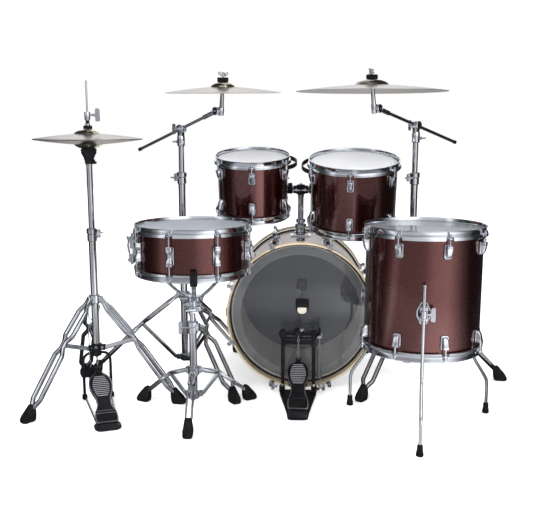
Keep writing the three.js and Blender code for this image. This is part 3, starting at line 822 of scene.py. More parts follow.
def add_tom_post():
    """The tube between the bass drum and the toms, with its black double clamp."""
    centre = (joint_point("tom1_tilt") + joint_point("tom2_tilt")) / 2
    low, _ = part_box("tom_post")
    where = place(*centre)
    drop = (low.z - centre.z) / MM
    post = merge([cylinder(11, drop + 4, -8, 1.0, 32), cylinder(12.4, -30, -20, 1.0, 32)])
    bodies = merge([
        cylinder(17, -19, 19, 3.0, 32),
        cylinder(15.5, -29.6, 29.6, 2.0, 32).at(turn_y(90)),
        box((24, 40, 26), (0, 0, 0), 4.0),
    ])
    bolts = [wing_bolt(10).at(place(x, -17, 0) @ turn_x(90)) for x in (-17, 17)]
    bolts += [hex_bolt(5.5, 5).at(place(0, 0, 19)), hex_bolt().at(place(0, 20, 0) @ turn_x(-90))]
    lock = merge([tube_ring(11.1, 18, -14, 0, 1.2, 32), box((12, 9, 13), (0, -20, -7), 2.0)])
    piece("tom_post_tube", post, CHROME, "tom_post", ["tom_post"], where)
    piece("tom_post_clamp", bodies, BLACK, "tom_post", (), where)
    piece("tom_post_bolts", bolts, CHROME, "tom_post", (), where)
    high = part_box("tom_mount_base")[1].z
    ring_z = (high - centre.z) / MM + 16
    piece("tom_post_memory_lock", lock.shift(0, 0, ring_z), CHROME, "tom_post", (), where)


# ---------- floor tom ----------
FLOOR = Drum("floor_tom", 178, 362, 7, 11, 8, -121.5, "root")
LEG_ANGLES = (-97, 23, 143)
LEG_OUT, LEG_FOOT_OUT, LEG_RADIUS = 200, 260, 5.2


def leg_bracket():
    """A six-sided plate on the shell with a V block and a wing screw to its right."""
    outline = [(-9, -33), (9, -33), (21.5, -8), (21.5, 8), (9, 33), (-9, 33), (-21.5, 8), (-21.5, -8)]
    base = plate(outline, 0.8, 4.2, 1.0).at(FACING_OUT)
    # Painted shade: a thin black plate inside the bracket's outline stands in for the shade in its recess.
    painted_recess_shade = plate(inset(outline, 4.5), 4.0, 4.8, 0.3).at(FACING_OUT).shift(FLOOR.radius)
    cheeks = [
        casing([(low, 11, 17), (low + 2, 12.5, 20), (high - 2, 12.5, 20), (high, 11, 17)], 4.0)
        for low, high in ((-22, -5), (3, 22))
    ]
    eye = cylinder(9.6, -12, 12, 1.5).shift(LEG_OUT - FLOOR.radius)
    screw = wing_bolt(13, 42, 14).at(
        place(LEG_OUT - FLOOR.radius, 8, 0) @ turn_x(-90) @ turn_z(90))
    return merge([base, *cheeks, eye, screw]).shift(FLOOR.radius), painted_recess_shade


def add_floor_tom():
    add_shell_and_heads(FLOOR, (CLEAR_FILM, CLEAR_FILM), ["floor_tom_shell"])
    add_steel_hoops(FLOOR, ("floor_tom_top_hoop", "floor_tom_bottom_hoop"))
    add_lugs_and_rods(FLOOR)
    centre_z = FLOOR.where.translation.z / MM
    bracket, painted_recess_shade = (shape.shift(0, 0, 406 - centre_z) for shape in leg_bracket())
    brackets = [bracket.at(turn_z(angle)) for angle in LEG_ANGLES]
    painted_recess_shades = [painted_recess_shade.at(turn_z(angle)) for angle in LEG_ANGLES]
    FLOOR.piece("leg_brackets", brackets, CHROME)
    # The painted shade of each bracket's recess.
    FLOOR.piece("leg_bracket_painted_recess_shade", painted_recess_shades, BLACK)
    for number, angle in enumerate(LEG_ANGLES, 1):
        add_floor_tom_leg(number, angle)


def add_floor_tom_leg(number, angle):
    """A rod that bends outwards below the drum and ends in a ribbed rubber tip."""
    node = "floor_tom_leg_%d" % number
    body = "floor_leg_%d" % number
    where = standing(FLOOR.where.translation, angle)
    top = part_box(node)[1].z / MM
    out, foot = LEG_OUT, LEG_FOOT_OUT
    path = [(out, 0, top), (out, 0, 380), (out, 0, 250), (out + 1, 0, 215), (out + 8, 0, 190),
            (foot - 10, 0, 128), (foot - 1, 0, 102), (foot, 0, 70), (foot, 0, 22)]
    bar = merge([wire(path, LEG_RADIUS, 8, 16), cylinder(6.2, -4, 3, 1.2, 16).shift(out, 0, top - 3)])
    tip = lathe([(0, 0), (8, 0), (11, 1.5), (11.4, 7), (10.6, 9), (10.8, 12), (9.8, 14), (10, 17),
                 (9, 19), (8.6, 33), (7, 36), (0, 36)], 32).shift(foot)
    piece(node + "_rod", bar, CHROME, body, [node], where)
    piece(node + "_tip", tip, RUBBER, body, (), where)


# ---------- snare drum ----------
SNARE = Drum("snare", 178, 140, 6, 9, 8, -104.5, "snare", ("snare_batter_head", "snare_side_head"))


def snare_lug():
    """A double-ended casing, narrow in its middle."""
    half = casing([
        (1.0, 6.2, 12.0), (4, 6.4, 12.4), (9, 7.4, 14.5), (15, 9.4, 18.0), (27, 10, 19.4),
        (29.5, 9.6, 18.8), (30.5, 8.6, 17.6),
    ])
    return merge([half, half.mirrored(), lug_plate(62, -2, 0.6, 3.0)])


def add_snare_drum():
    drum = SNARE
    add_shell_and_heads(drum, (GREY_FILM, CLEAR_FILM), ["snare_shell"])
    add_steel_hoops(drum, ("snare_batter_hoop", "snare_side_hoop"))
    r = drum.radius
    lug, seat = snare_lug().shift(r), lug_plate(62, 1.5, -0.6, 0.9).shift(r)
    shank = tension_rod(drum, 24)
    lugs = [lug.at(turn_z(angle)) for angle in drum.angles]
    rods = [s.at(turn_z(angle)) for angle in drum.angles for s in (shank, shank.mirrored())]
    drum.piece("lugs", lugs, CHROME)
    drum.piece("lug_seats", [seat.at(turn_z(angle)) for angle in drum.angles], RUBBER)
    drum.piece("tension_rods", rods, CHROME)
    add_throw_off()
    add_snare_wires()


def add_throw_off():
    """The strainer on the left, its lever and knob, and the butt plate across from it."""
    drum = SNARE
    r = drum.radius
    lever_low = drum.local(joint_point("snare_lever_throw")).z
    body = merge([
        box((16, 36, 62), (r + 9, 0, -2), 4.0),
        box((12, 22, 30), (r + 20, 0, lever_low + 2), 3.0),
        cylinder(7.5, -19, 19, 1.2).at(place(r + 19, 0, -26) @ turn_x(90)),
        box((13, 20, 40), (r + 21, -4, 16), 3.5),
        cylinder(5.5, -15, 15, 1.0).at(place(r + 27, 0, 31) @ turn_x(90)),
    ])
    butt = merge([
        box((14, 40, 44), (r + 8, 0, -12), 4.0),
        box((9, 30, 16), (r + 15, 0, -24), 2.5),
        *[hex_bolt(4, 4).at(place(r + 19, y, -24) @ turn_y(90)) for y in (-9, 9)],
    ])
    knob = merge([cylinder(9.5, 33, 47, 1.5, 20), cylinder(4, 26, 36, 0.5, 16)]).shift(r + 13)
    drum.piece("throw_off", [body.at(turn_z(180)), knob.at(turn_z(180)), butt], CHROME)
    swing = [(0, 0, 0), (2, 0, 22), (6, 0, 44), (4, 0, 62), (9, 0, 76)]
    grip = sweep(smooth_path(swing), [(y, x) for x, y in rounded(5, 13, 2.2)])
    pivot = cylinder(6.5, -11, 11, 1.2).at(turn_x(90))
    lever = merge([grip, pivot]).shift(r + 27, 0, lever_low)
    lever = lever.at(turn_z(180))
    piece("snare_throw_lever", lever, CHROME, "snare_lever", ["snare_lever"], drum.where)


def add_snare_wires():
    """Twenty coiled wires under the snare-side head, held by two end plates."""
    drum = SNARE
    count, pitch, reach = 20, 2.2, 128
    height = -drum.edge - 3.4
    wires = []
    for i in range(count):
        y = (i - (count - 1) / 2) * pitch
        turns, points = 64, []
        for k in range(turns * 4 + 1):
            angle = k * math.pi / 2
            x = -reach + 2 * reach * k / (turns * 4)
            points.append((x, y + 0.7 * math.cos(angle), height + 0.7 * math.sin(angle)))
        wires.append(sweep(points, circle(0.32, 4)))
    ends = [box((13, 46, 1.6), (side * (reach + 3), 0, height), 0.6) for side in (-1, 1)]
    straps = [box((42, 12, 0.6), (side * (reach + 27), 0, height + 0.2), 0.2) for side in (-1, 1)]
    drum.piece("snare_wires", wires + ends, STEEL)
    drum.piece("snare_straps", straps, BLACK)


# ---------- bass drum ----------
BASS = Drum("bass", 254, 406, 8, 37, 8, 22.5, "root", ("bass_batter_head", "bass_front_head"))
HOOP_INNER, HOOP_OUTER, HOOP_WIDTH = 258.6, 266, 37


def wood_hoop():
    """A bent maple hoop with round outer corners, and a black band of painted shadow round its outside near
    the shell, for the dark gap between hoop and shell.
    """
    low, high = BASS.edge + 0.3, BASS.edge + HOOP_WIDTH
    wood = lathe([
        (HOOP_INNER, low + 1), (HOOP_INNER + 1, low), (HOOP_OUTER - 2.5, low), (HOOP_OUTER, low + 2.5),
        (HOOP_OUTER, high - 2.5), (HOOP_OUTER - 2.5, high), (HOOP_INNER + 1, high), (HOOP_INNER, high - 1),
    ], DRUM_SIDES, hollow=True)
    # Painted shadow: a black band round the hoop's outside near the shell stands in for the shade in the
    # gap between hoop and shell.
    painted_gap_shadow = tube_ring(HOOP_OUTER - 0.6, HOOP_OUTER + 0.25, low + 3, low + 9, 0.2, DRUM_SIDES)
    return wood, painted_gap_shadow


def claw():
    """A hook over the hoop, with a cap that the rod pulls down."""
    high = BASS.edge + HOOP_WIDTH
    r = HOOP_OUTER
    hook = merge([
        box((3.2, 18, 32), (r + 2.0, 0, high - 13), 1.2),
        box((10, 18, 3.2), (r - 1.6, 0, high + 1.8), 1.2),
        box((14, 12, 11), (r + 8, 0, high - 9), 3.0),
        cylinder(7.0, high - 15, high - 3, 1.5, 24).shift(r + 13),
    ])
    shank = merge([
        cylinder(3.0, 92, high + 1, 0.3, 12),
        cylinder(6.8, high - 3, high - 0.6, 0.4, 20),
        cylinder(5.0, high - 1, high + 4, 0.8, 20),
        box((6, 6, 5), (0, 0, high + 5.5), 0.8),
    ]).shift(r + 13)
    return hook, shank


def bass_lug():
    """A lug that stands far enough off the shell to meet a rod outside the wooden hoop."""
    return merge([
        casing([(-20, 7, 10), (-18.5, 8, 14), (-6, 9.5, 22), (12, 10.5, 29), (18, 10.5, 30.5),
                (20, 9.4, 29.5)]),
        lug_plate(47, 1, 0.6, 3.0),
    ]).shift(BASS.radius, 0, 92)


def add_bass_drum():
    drum = BASS
    add_shell_and_heads(drum, (BATTER_FILM, DARK_FILM), ["bass_shell"])
    wood, painted_gap_shadow = wood_hoop()
    drum.piece("batter_wood_hoop", wood, MAPLE, ["bass_batter_hoop"])
    drum.piece("front_wood_hoop", wood.mirrored(), MAPLE, ["bass_front_hoop"])
    # Painted shadow of the gap between the front hoop and the shell, on the front hoop only.
    drum.piece("front_hoop_painted_gap_shadow", painted_gap_shadow.mirrored(), BLACK)
    r, e = drum.radius, drum.edge
    # Painted shadow: a black ring over the head's edge, in the gap between head and wooden hoop where shade
    # falls.
    collar = tube_ring(r + 0.2, HOOP_INNER - 0.3, e + 1.1, e + 2.4, 0.4, DRUM_SIDES)
    drum.piece("hoop_gap_painted_shadow", collar, BLACK)
    muffle = tube_ring(r - 38, r - 8, e - 1.4, e - 0.6, 0.2, DRUM_SIDES)
    drum.piece("muffle_ring", muffle, RING_FILM)
    hook, shank = claw()
    lug = bass_lug()
    seat = lug_plate(47, 4, -0.6, 0.9).shift(drum.radius, 0, 92)
    groups = {"claws": [], "claw_rods": [], "lugs": [], "lug_seats": []}
    for angle in drum.angles:
        for flip in (False, True):
            for key, shape in (("claws", hook), ("claw_rods", shank), ("lugs", lug), ("lug_seats", seat)):
                shape = shape.mirrored() if flip else shape
                groups[key].append(shape.at(turn_z(angle)))
    for key, shapes in groups.items():
        drum.piece(key, shapes, RUBBER if key == "lug_seats" else CHROME)
    add_mount_base()
    add_spurs()


def add_mount_base():
    """The saddle on the shell that holds the tom post."""
    low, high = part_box("tom_mount_base")
    centre = (low + high) / 2
    where = place(centre.x, centre.y, BASS.where.translation.z)
    r = BASS.radius
    tilt = math.degrees(38 / r)
    saddle = arc([(r + 0.4, -46), (r + 5, -46), (r + 7, -42), (r + 7, 42), (r + 5, 46), (r + 0.4, 46)],
                 90 - tilt, 90 + tilt, 14).at(turn_x(90))
    top = (high.z - where.translation.z) / MM
    socket = merge([
        tube_ring(12, 19.5, r + 4, top - 2, 1.5, 40), tube_ring(12, 23, r + 4, r + 13, 2.0, 40),
        tube_ring(12, 22, top - 20, top - 3, 1.5, 40),
        box((20, 15, 17), (0, -24, top - 12), 3.0),
        wing_bolt(12, 38).at(place(6, -30, top - 12) @ turn_x(90)),
    ])
    bolts = [hex_bolt(5, 5).at(place(x, y, r + 3.5)) for x in (-24, 24) for y in (-34, 34)]
    piece("bass_tom_mount", [saddle, socket, *bolts], CHROME, "root", ["tom_mount_base"], where)


SPUR_FOOT = (2, 134)  # the foot's offset towards the drum, and towards the front


def add_spurs():
    """Folding legs on toothed hubs, with their brackets on the shell."""
    for side, name in ((-1, "left"), (1, "right")):
        node = "bass_spur_" + name
        hub = joint_point("spur_%s_fold" % name)
        where = place(*hub)
        x, y, z = -side * SPUR_FOOT[0], SPUR_FOOT[1], -hub.z / MM
        leg = merge([
            wire([(0, 0, 0), (0, 8, -9), (x, y - 8, z + 38), (x, y, z + 22)], 6.3, 8, 16),
            cylinder(15.5, -6, 12, 1.5, 32).at(turn_y(90 * side)),
            cylinder(17.5, 5, 9, 0.6, 24).at(turn_y(90 * side)),
            wing_bolt(13, 34).at(turn_y(90 * side) @ place(0, 0, 11)),
        ])
        foot = lathe([(0, 0), (9, 0), (12.5, 2), (12.8, 12), (11, 16), (10.5, 32), (8, 36), (0, 36)], 32)
        centre = BASS.where.translation
        base_angle = math.degrees(math.atan2(hub.z - centre.z, side * (hub.x - centre.x)))
        drop = math.hypot(hub.x - centre.x, hub.z - centre.z) / MM - BASS.radius
        bracket = merge([
            cylinder(16, -24, -7, 1.5, 32),
            box((38, 46, 6), (0, 0, -drop - 1), 2.5),
            cylinder(12, -drop, -18, 1.0, 24),
        ]).at(turn_y(side * (90 - base_angle)))
        piece(node + "_leg", leg, CHROME, "spur_" + name, [node], where)
        piece(node + "_tip", foot.shift(x, y, z), RUBBER, "spur_" + name, (), where)
        piece(node + "_bracket", bracket, CHROME, "root", (), where)


# ---------- stands ----------
BAR = (13.5, 15)  # one bar of a double-braced leg, across and deep
BAR_SPREAD = 19.5  # half the distance between the two bars
BAR_PINCH = 4.5  # the same where the bars are pinched together
# A rubber foot: height, inner and outer reach from the foot's middle, and thickness.
BOOT = [
    (0, -13, 25, 25), (2, -16, 29, 29), (8, -18, 31, 32), (15, -19, 28.5, 33), (24, -20, 23, 32),
    (34, -21, 15, 28), (43, -21, 7, 25), (50, -18, 1, 23), (54, -13, -3, 19),
]


class Stand:
    """The measures of one tripod, in millimetres above the floor or out from its tube."""

    def __init__(self, name, centre, turn, feet, hip, share, bow, low, tube_low, tube_high, radius,
                 bar=BAR, spread=BAR_SPREAD):
        self.name, self.feet, self.hip, self.share, self.bow = name, feet, hip, share, bow
        self.bar, self.spread = bar, spread
        self.low, self.tube_low, self.tube_high, self.radius = low, tube_low, tube_high, radius
        self.where, self.turn = standing(centre), turn
        self.node = name + "_tripod"

    def piece(self, name, shapes, material, replaces=(), body="root"):
        whole = merge(shapes) if isinstance(shapes, list) else shapes
        whole = whole.at(turn_z(self.turn))
        return piece(self.name + "_" + name, whole, material, body, replaces, self.where)

    def all_round(self, make):
        """What make builds for each foot's reach, turned to that foot's angle."""
        return [shape.at(turn_z(angle)) for angle, reach in self.feet for shape in make(reach)]


def leg_bars(stand, reach):
    """Two bars from hip to foot, pinched together at the hip, the knee and the ankle."""
    hip = Vector((stand.radius + 9, 0, stand.hip))
    ankle = Vector((reach - 6, 0, 34))
    spread = stand.spread
    bars, knee = [], stand.share
    to_knee = [(0.095, spread), (0.085, spread - 1), (0.03, BAR_PINCH + 0.5), (0.02, BAR_PINCH)]
    wide = [
        (0, BAR_PINCH), (0.045, BAR_PINCH), (0.055, BAR_PINCH + 1), (0.115, spread - 1), (0.125, spread),
        *[(knee - before, offset) for before, offset in to_knee],
        *[(knee + after, offset) for after, offset in to_knee[::-1]],
        (0.90, spread), (0.91, spread - 1), (0.965, BAR_PINCH + 2), (1, BAR_PINCH + 1),
    ]
    for side in (-1, 1):
        path = []
        for share, offset in wide:
            point = hip.lerp(ankle, share)
            point.z += stand.bow * (1 - abs(share - knee) / (knee if share < knee else 1 - knee))
            point.y = side * offset
            path.append(point)
        bars.append(sweep(path, rounded(*stand.bar, min(stand.bar) * 0.36)))
    return bars, hip.lerp(ankle, knee) + Vector((0, 0, stand.bow))


def boot():
    """A wedge-shaped rubber foot, longer on the outside."""
    sections = []
    for height, inner, outer, thick in BOOT:
        outline = rounded(outer - inner, thick, min(9, thick * 0.3, (outer - inner) * 0.4), 5)
        sections.append([(x + (outer + inner) / 2, y, height) for x, y in outline])
    return loft(sections)


def knuckle(radius, half, centre):
    """A rivet that lies across a leg."""
    return cylinder(radius, -half, half, 1.0, 20).at(place(*centre) @ turn_x(90))


def leg_shapes(stand, reach):
    bars, knee = leg_bars(stand, reach)
    low = stand.low + 13
    brace = sweep(
        [(stand.radius + 7, 0, low), (stand.radius + 22, 0, low), (knee.x - 4, 0, knee.z - 3)],
        rounded(4.5, 15, 2.0))
    rivets = [
        knuckle(4.6, 9, knee - Vector((2, 0, 2))),
        knuckle(4.6, 8, (stand.radius + 14, 0, stand.hip - 2)),
        knuckle(4.0, 7, (stand.radius + 11, 0, low)),
    ]
    ear = box((17, 14, 22), (stand.radius + 8, 0, stand.hip), 3.0)
    return [*bars, brace, *rivets, ear]


def tube_clamp(radius, low, high):
    """The clamp on top of a tube: a split collar with its wing bolt behind."""
    middle_z = (low + high) / 2
    height = high - low
    return merge([
        tube_ring(radius - 3.2, radius + 5.5, high - height * 0.45, high, 2.5, 40),
        tube_ring(radius - 3.2, radius + 3.6, low, high - height * 0.45, 2.0, 40),
        box((15, 13, height * 0.62), (-radius - 8, 0, middle_z + 3), 3.0),
        hex_bolt(5.2, 5).at(place(-radius - 9, 6, middle_z + 3) @ turn_x(-90)),
        wing_bolt(10, 32, 12).at(place(-radius - 9, -6, middle_z + 3) @ turn_x(90)),
    ])


def add_tripod(stand, low_material=CHROME, clamp_turn=0):
    """A stand's lower tube, its double-braced legs with their collars and feet, and its clamp."""
    tube = tube_ring(stand.radius - 2, stand.radius, stand.tube_low, stand.tube_high, 0.6, 40)
    hip = tube_ring(stand.radius - 0.5, stand.radius + 6.5, stand.hip - 15, stand.hip + 15, 2.5, 40)
    stand.piece("tube", [tube, hip], CHROME, [stand.node])
    stand.piece("legs", stand.all_round(lambda reach: leg_shapes(stand, reach)), CHROME)
    collar = tube_ring(stand.radius - 0.5, stand.radius + 6, stand.low + 1, stand.low + 25, 2.0, 40)
    ear = box((20, 13, 20), (stand.radius + 10, 0, stand.low + 13), 2.5)
    stand.piece("low_collar", [collar, *stand.all_round(lambda reach: [ear])], low_material)
    stand.piece("feet", stand.all_round(lambda reach: [boot().shift(reach)]), RUBBER)
    clamp = tube_clamp(stand.radius, stand.tube_high - 22, stand.tube_high + 22)
    stand.piece("height_clamp", clamp.at(turn_z(clamp_turn)), CHROME)


# ---------- cymbals ----------
CYMBAL_THICK = 1.3
CYMBAL_HOLE = 6.5


def cymbal_shape(radius, rise, bell):
    """A round bell and a bow that falls away to a thin edge. The edge's underside is at 0."""
    foot = rise * 0.52
    under = [(CYMBAL_HOLE, rise), (bell * 0.25, rise - 0.15)]
    last = math.radians(28)
    for k in range(1, 9):
        angle = math.radians(90 - 62 * k / 8)
        share = (1 - math.sin(angle)) / (1 - math.sin(last))
        out = bell * (0.25 + 0.71 * math.cos(angle) / math.cos(last))
        under.append((out, rise - (rise - foot) * share))
    under.append((bell * 1.04, foot - 0.7))
    steps = 16
    for k in range(1, steps + 1):
        share = k / steps
        x = bell * 1.04 + (radius - bell * 1.04) * share
        under.append((x, (foot - 0.7) * (1 - 0.72 * share - 0.28 * share ** 2.4)))
    over = [(r, z + CYMBAL_THICK * (1 if r < radius else 0.75)) for r, z in under]
    return lathe([*over, *under[::-1]], 160, hollow=True)


def wing_nut():
    """A nut with two raised wings, on +Z."""
    wing = plate([(3, 1), (12, 3), (18, 6), (19, 13), (15, 16), (9, 13), (3, 10)], -2.8, 2.8, 1.0)
    wings = [wing.at(turn_z(angle) @ turn_x(90)) for angle in (0, 180)]
    return merge([cylinder(9.5, 0, 3, 0.6), cylinder(7, 2, 11, 1.2), *wings])


# ---------- boom stands ----------
def add_boom_stand(side, turn, feet, hip, low, tube_high, tail, cymbal_radius, rise, clamp_turn):
    pivot = joint_point(side + "_boom_tilt")
    stand = Stand(side + "_stand", pivot, turn, feet, hip, 0.45, 14, low, 56, tube_high, 13)
    add_tripod(stand, clamp_turn=clamp_turn)
    add_boom(side, pivot, tail, tube_high)
    add_tilter_and_cymbal(side, cymbal_radius, rise)


def add_boom(side, pivot, tail, tube_high):
    """The middle tube with its toothed tilter, and the boom through it."""
    height = pivot.z / MM
    tip = joint_point(side + "_tilter_tilt")
    where = joint_frame(side + "_boom_tilt")
    barrel = turn_y(90)
    tube = merge([
        cylinder(10, tube_high - 200 - height, -26, 0.6, 40),
        lathe([(0, -62), (12.6, -62), (14, -60), (14.4, -30), (13, -24), (0, -24)], 40),
        box((20, 22, 30), (0, 0, -22), 5.0),
        wing_bolt(11, 34, 12).at(place(-5, -12, -46) @ turn_x(90)),
    ])
    cheek = cylinder(15.4, -15, -4, 1.6, 40).at(barrel)
    old_tube = side + "_stand_mid_tube"
    piece(side + "_mid_tube", [tube, cheek], CHROME, side + "_height", [old_tube], where)
    local = where.inverted() @ tip / MM
    along = local.normalized()
    bar = merge([
        rod(-along * tail, local - along * 12, 5.8, 0.8, 24),
        rod(local - along * 62, local - along * 10, 8.4, 1.5, 24),
        cylinder(15.4, -3.6, 11, 1.6, 40).at(barrel), cylinder(10, 8, 17, 1.0, 32).at(barrel),
        box((20, 24, 20), (6, 0, 3), 5.0),
        cylinder(6.6, 12, 19, 1.0, 6).at(barrel),
        wing_bolt(14, 38, 13).at(barrel @ place(0, 0, 14) @ turn_x(18)),
    ])
    cap = rod(-along * (tail + 4), -along * (tail - 10), 6.7, 1.4, 24)
    piece(side + "_boom_bar", bar, CHROME, side + "_boom", [side + "_boom_arm"], where)
    piece(side + "_boom_cap", cap, BLACK, side + "_boom", (), where)


def add_tilter_and_cymbal(side, radius, rise):
    """The ratchet at the boom's tip, the rod up from it, the felts and the cymbal."""
    name = body = side + "_tilter"
    where = joint_frame(side + "_tilter_tilt")
    crown = where.inverted() @ joint_point(side + "_cymbal_rock") / MM
    boom = where.inverted() @ joint_point(side + "_boom_tilt") / MM
    ahead = Vector((-boom.x, -boom.y, 0)).normalized()
    barrel = turn_y(90)
    foot = ahead * 21
    up = (crown - foot).normalized()
    eye = merge([
        tube_ring(9.6, 14.4, -12.5, 12.5, 2.0, 40), cylinder(4.6, -14.5, 14.5, 0.8, 6),
    ]).at(barrel)
    gasket = tube_ring(4, 10.4, -11.6, 11.6, 0.8, 32).at(barrel)
    rise_rod = lathe([(0, -17), (8.6, -16), (9.4, -13), (9.4, 12), (7.6, 17), (7.2, 50), (5.4, 68),
                      (5.2, 76), (0, 76)], 32).at(aimed(foot, up))
    seat_low = crown - up * 26
    post = merge([
        rod(foot + up * 60, crown + up * 34, 3.2, 0.4, 16),
        cylinder(12.5, 0, 3, 0.8, 32).at(aimed(seat_low, up)),
        cylinder(7, -11, 1, 1.5, 32).at(aimed(seat_low, up)),
        box((20, 16, 19), (0, 0, 0), 5.0).at(aimed(foot * 0.5, ahead)),
    ])
    piece(name + "_ratchet", [eye, rise_rod, post], CHROME, body, [side + "_tilter"], where)
    piece(name + "_gasket", gasket, BLACK, body, (), where)
    nut = wing_nut().at(aimed(crown + up * 19, up, ahead) @ turn_z(60))
    piece(name + "_wing_nut", nut, CHROME, body, (), where)
    cymbal = place(*joint_point(side + "_cymbal_rock"))
    lean = {"left": 3.0, "right": 0.5}[side]
    cymbal = cymbal @ turn_x(lean) @ place(0, 0, -rise * MM)
    shape = cymbal_shape(radius, rise, radius * 0.235)
    body = side + "_cymbal"
    piece(side + "_cymbal_plate", shape, BRONZE, body, [side + "_cymbal"], cymbal)
    felts = [
        lathe([(8.6, rise + 1.6), (18, rise + 0.6), (19.6, rise + 3), (19.6, rise + 12.5),
               (18, rise + 15.5), (8.6, rise + 15.5)], 40, hollow=True),
        lathe([(7.4, rise - 12), (13, rise - 12), (15, rise - 9), (15, rise - 3), (13, rise - 0.8),
               (7.4, rise - 0.6)], 40, hollow=True),
    ]
    piece(side + "_cymbal_felts", felts, BLACK_FELT, body, (), cymbal)


# ---------- hi-hat ----------
HIHAT_EDGE, HIHAT_RISE, HIHAT_RADIUS, HIHAT_BELL = 898, 30, 178, 48
HIHAT_TURN = 20.5  # degrees by which the pedal's heel is turned to the player's right


def add_hihat():
    low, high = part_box("hihat_rod")
    centre = (low + high) / 2
    feet = [(0, 281), (120, 272), (236.5, 273)]
    stand = Stand("hihat", centre, -5, feet, 360, 0.45, 12, 178, 165, 581, 12.5)
    add_tripod(stand, BLACK, clamp_turn=205)
    screws = [hex_bolt(3.6, 3).at(turn_z(angle) @ place(22, -6, 191) @ turn_x(90))
              for angle in range(0, 360, 120)]
    screws.append(hex_bolt(3.6, 3).at(turn_z(14) @ place(0, -18.5, 193) @ turn_x(90)))
    stand.piece("collar_skirt", tube_ring(11, 16, 160, 181, 2.0, 40), BLACK)
    stand.piece("collar_screws", screws, STEEL)
    where = standing(centre, HIHAT_TURN)
    add_hihat_column(where, low.z / MM, high.z / MM)
    add_hihat_cymbals(standing(centre))
    add_hihat_pedal(where)


def add_hihat_column(where, rod_low, rod_high):
    cup = lathe([
        (4.6, 817), (12.4, 817), (13.6, 819), (14.6, 828), (17.5, 838), (22.5, 848), (25, 852),
        (25, 856), (4.6, 856),
    ], 48, hollow=True)
    tilt_screw = cylinder(4.4, 14, 24, 0.8, 16).at(place(0, 0, 821) @ turn_y(90))
    tilt_block = box((9, 9, 15), (15, 0, 824), 2.0)
    tube = tube_ring(4.4, 10, 430, 820, 0.6, 40)
    sleeve = tube_ring(4.4, 11.2, 812, 819, 0.8, 40)
    piece("hihat_seat_cup", [cup, tilt_block, tilt_screw], BLACK, "hihat_height", (), where)
    piece("hihat_column", [tube, sleeve], CHROME, "hihat_height", ["hihat_upper_tube"], where)
    pull = merge([
        cylinder(3, rod_low, rod_high - 1, 0.8, 16),
        cylinder(4.4, rod_low - 4, rod_low + 22, 0.8, 16),
    ])
    piece("hihat_pull_rod", pull, CHROME, "hihat_rod", ["hihat_rod"], where)
    crown = HIHAT_EDGE + HIHAT_RISE + CYMBAL_THICK + 0.8
    clutch = merge([
        lathe([(3.4, crown + 12), (8, crown + 12), (8, crown + 18), (5.4, crown + 20),
               (5.4, crown + 27), (8.6, crown + 30), (9.6, crown + 34), (9.6, crown + 53),
               (8.6, crown + 56), (3.4, crown + 56)], 32, hollow=True),
        wing_bolt(20, 42, 15).at(
            place(7, 0, crown + 46) @ turn_z(-HIHAT_TURN) @ turn_y(90) @ turn_z(180)),
    ])
    piece("hihat_clutch_body", clutch, CHROME, "hihat_rod", ["hihat_clutch"], where)
    neck = tube_ring(3.4, 6.3, crown + 20, crown + 28, 0.8)
    top = lathe([(3.4, crown + 0.2), (13.5, crown + 0.2), (14.6, crown + 2), (14.6, crown + 10),
                 (13, crown + 12), (3.4, crown + 12)], 40, hollow=True)
    piece("hihat_clutch_neck", neck, BLACK, "hihat_rod", (), where)
    piece("hihat_clutch_felt", top, BLACK_FELT, "hihat_rod", (), where)


def add_hihat_cymbals(where):
    hat = cymbal_shape(HIHAT_RADIUS, HIHAT_RISE, HIHAT_BELL)
    above = hat.shift(0, 0, HIHAT_EDGE + 0.4)
    below = hat.mirrored().shift(0, 0, HIHAT_EDGE - 0.4)
    piece("hihat_top_plate", above, BRONZE, "hihat_rod", ["hihat_top_cymbal"], where)
    piece("hihat_bottom_plate", below, BRONZE, "hihat_height", ["hihat_bottom_cymbal"], where)
    under = HIHAT_EDGE - HIHAT_RISE
    felt_ring = lathe([(4.6, under - 11.6), (24, under - 11.6), (26, under - 9), (26, under - 3.5),
                       (23, under - 1.4), (4.6, under - 1.6)], 48, hollow=True)
    piece("hihat_seat_felt", felt_ring, BLACK_FELT, "hihat_height", (), where)


# ---------- pedals ----------
def board_outline(neck, lobe, waist, heel, length):
    """Half widths along a footboard, from its heel at 0 to its neck at 1, as a closed outline."""
    profile = [
        (0.0, heel * 0.40), (0.015, heel * 0.47), (0.05, heel * 0.5), (0.16, heel * 0.5),
        (0.30, waist * 0.52), (0.38, waist * 0.5), (0.46, waist * 0.54),
        (0.56, lobe * 0.43), (0.66, lobe * 0.495), (0.74, lobe * 0.5), (0.82, lobe * 0.46),
        (0.89, lobe * 0.35), (0.935, neck * 0.62), (0.96, neck * 0.5), (1.0, neck * 0.48),
    ]
    points = smooth_path([(half, share * length, 0) for share, half in profile], 3)
    right = [(max(point.x, 1.0), point.y) for point in points]
    return right + [(-x, y) for x, y in right[::-1]]


def stretch(outline, low, high):
    """The part of a board's outline between two lengths, cut square."""
    kept = []
    for (x0, y0), (x1, y1) in zip(outline, outline[1:] + outline[:1]):
        if low <= y0 <= high:
            kept.append((x0, y0))
        for level in sorted((low, high), reverse=y1 < y0):
            if min(y0, y1) < level < max(y0, y1):
                kept.append((x0 + (x1 - x0) * (level - y0) / (y1 - y0), level))
    return kept


def board_and_rim(outline):
    """The board's plate, and the bright line let in round its edge."""
    rim_line = [Vector((x, y, 3.4)) for x, y in inset(outline, 1.7)]
    rim = sweep(rim_line, [(-1.9, -1.2), (1.9, -1.2), (1.5, 1.1), (-1.5, 1.1)], closed=True)
    return plate(outline, -4, 3.2, 0.8), rim


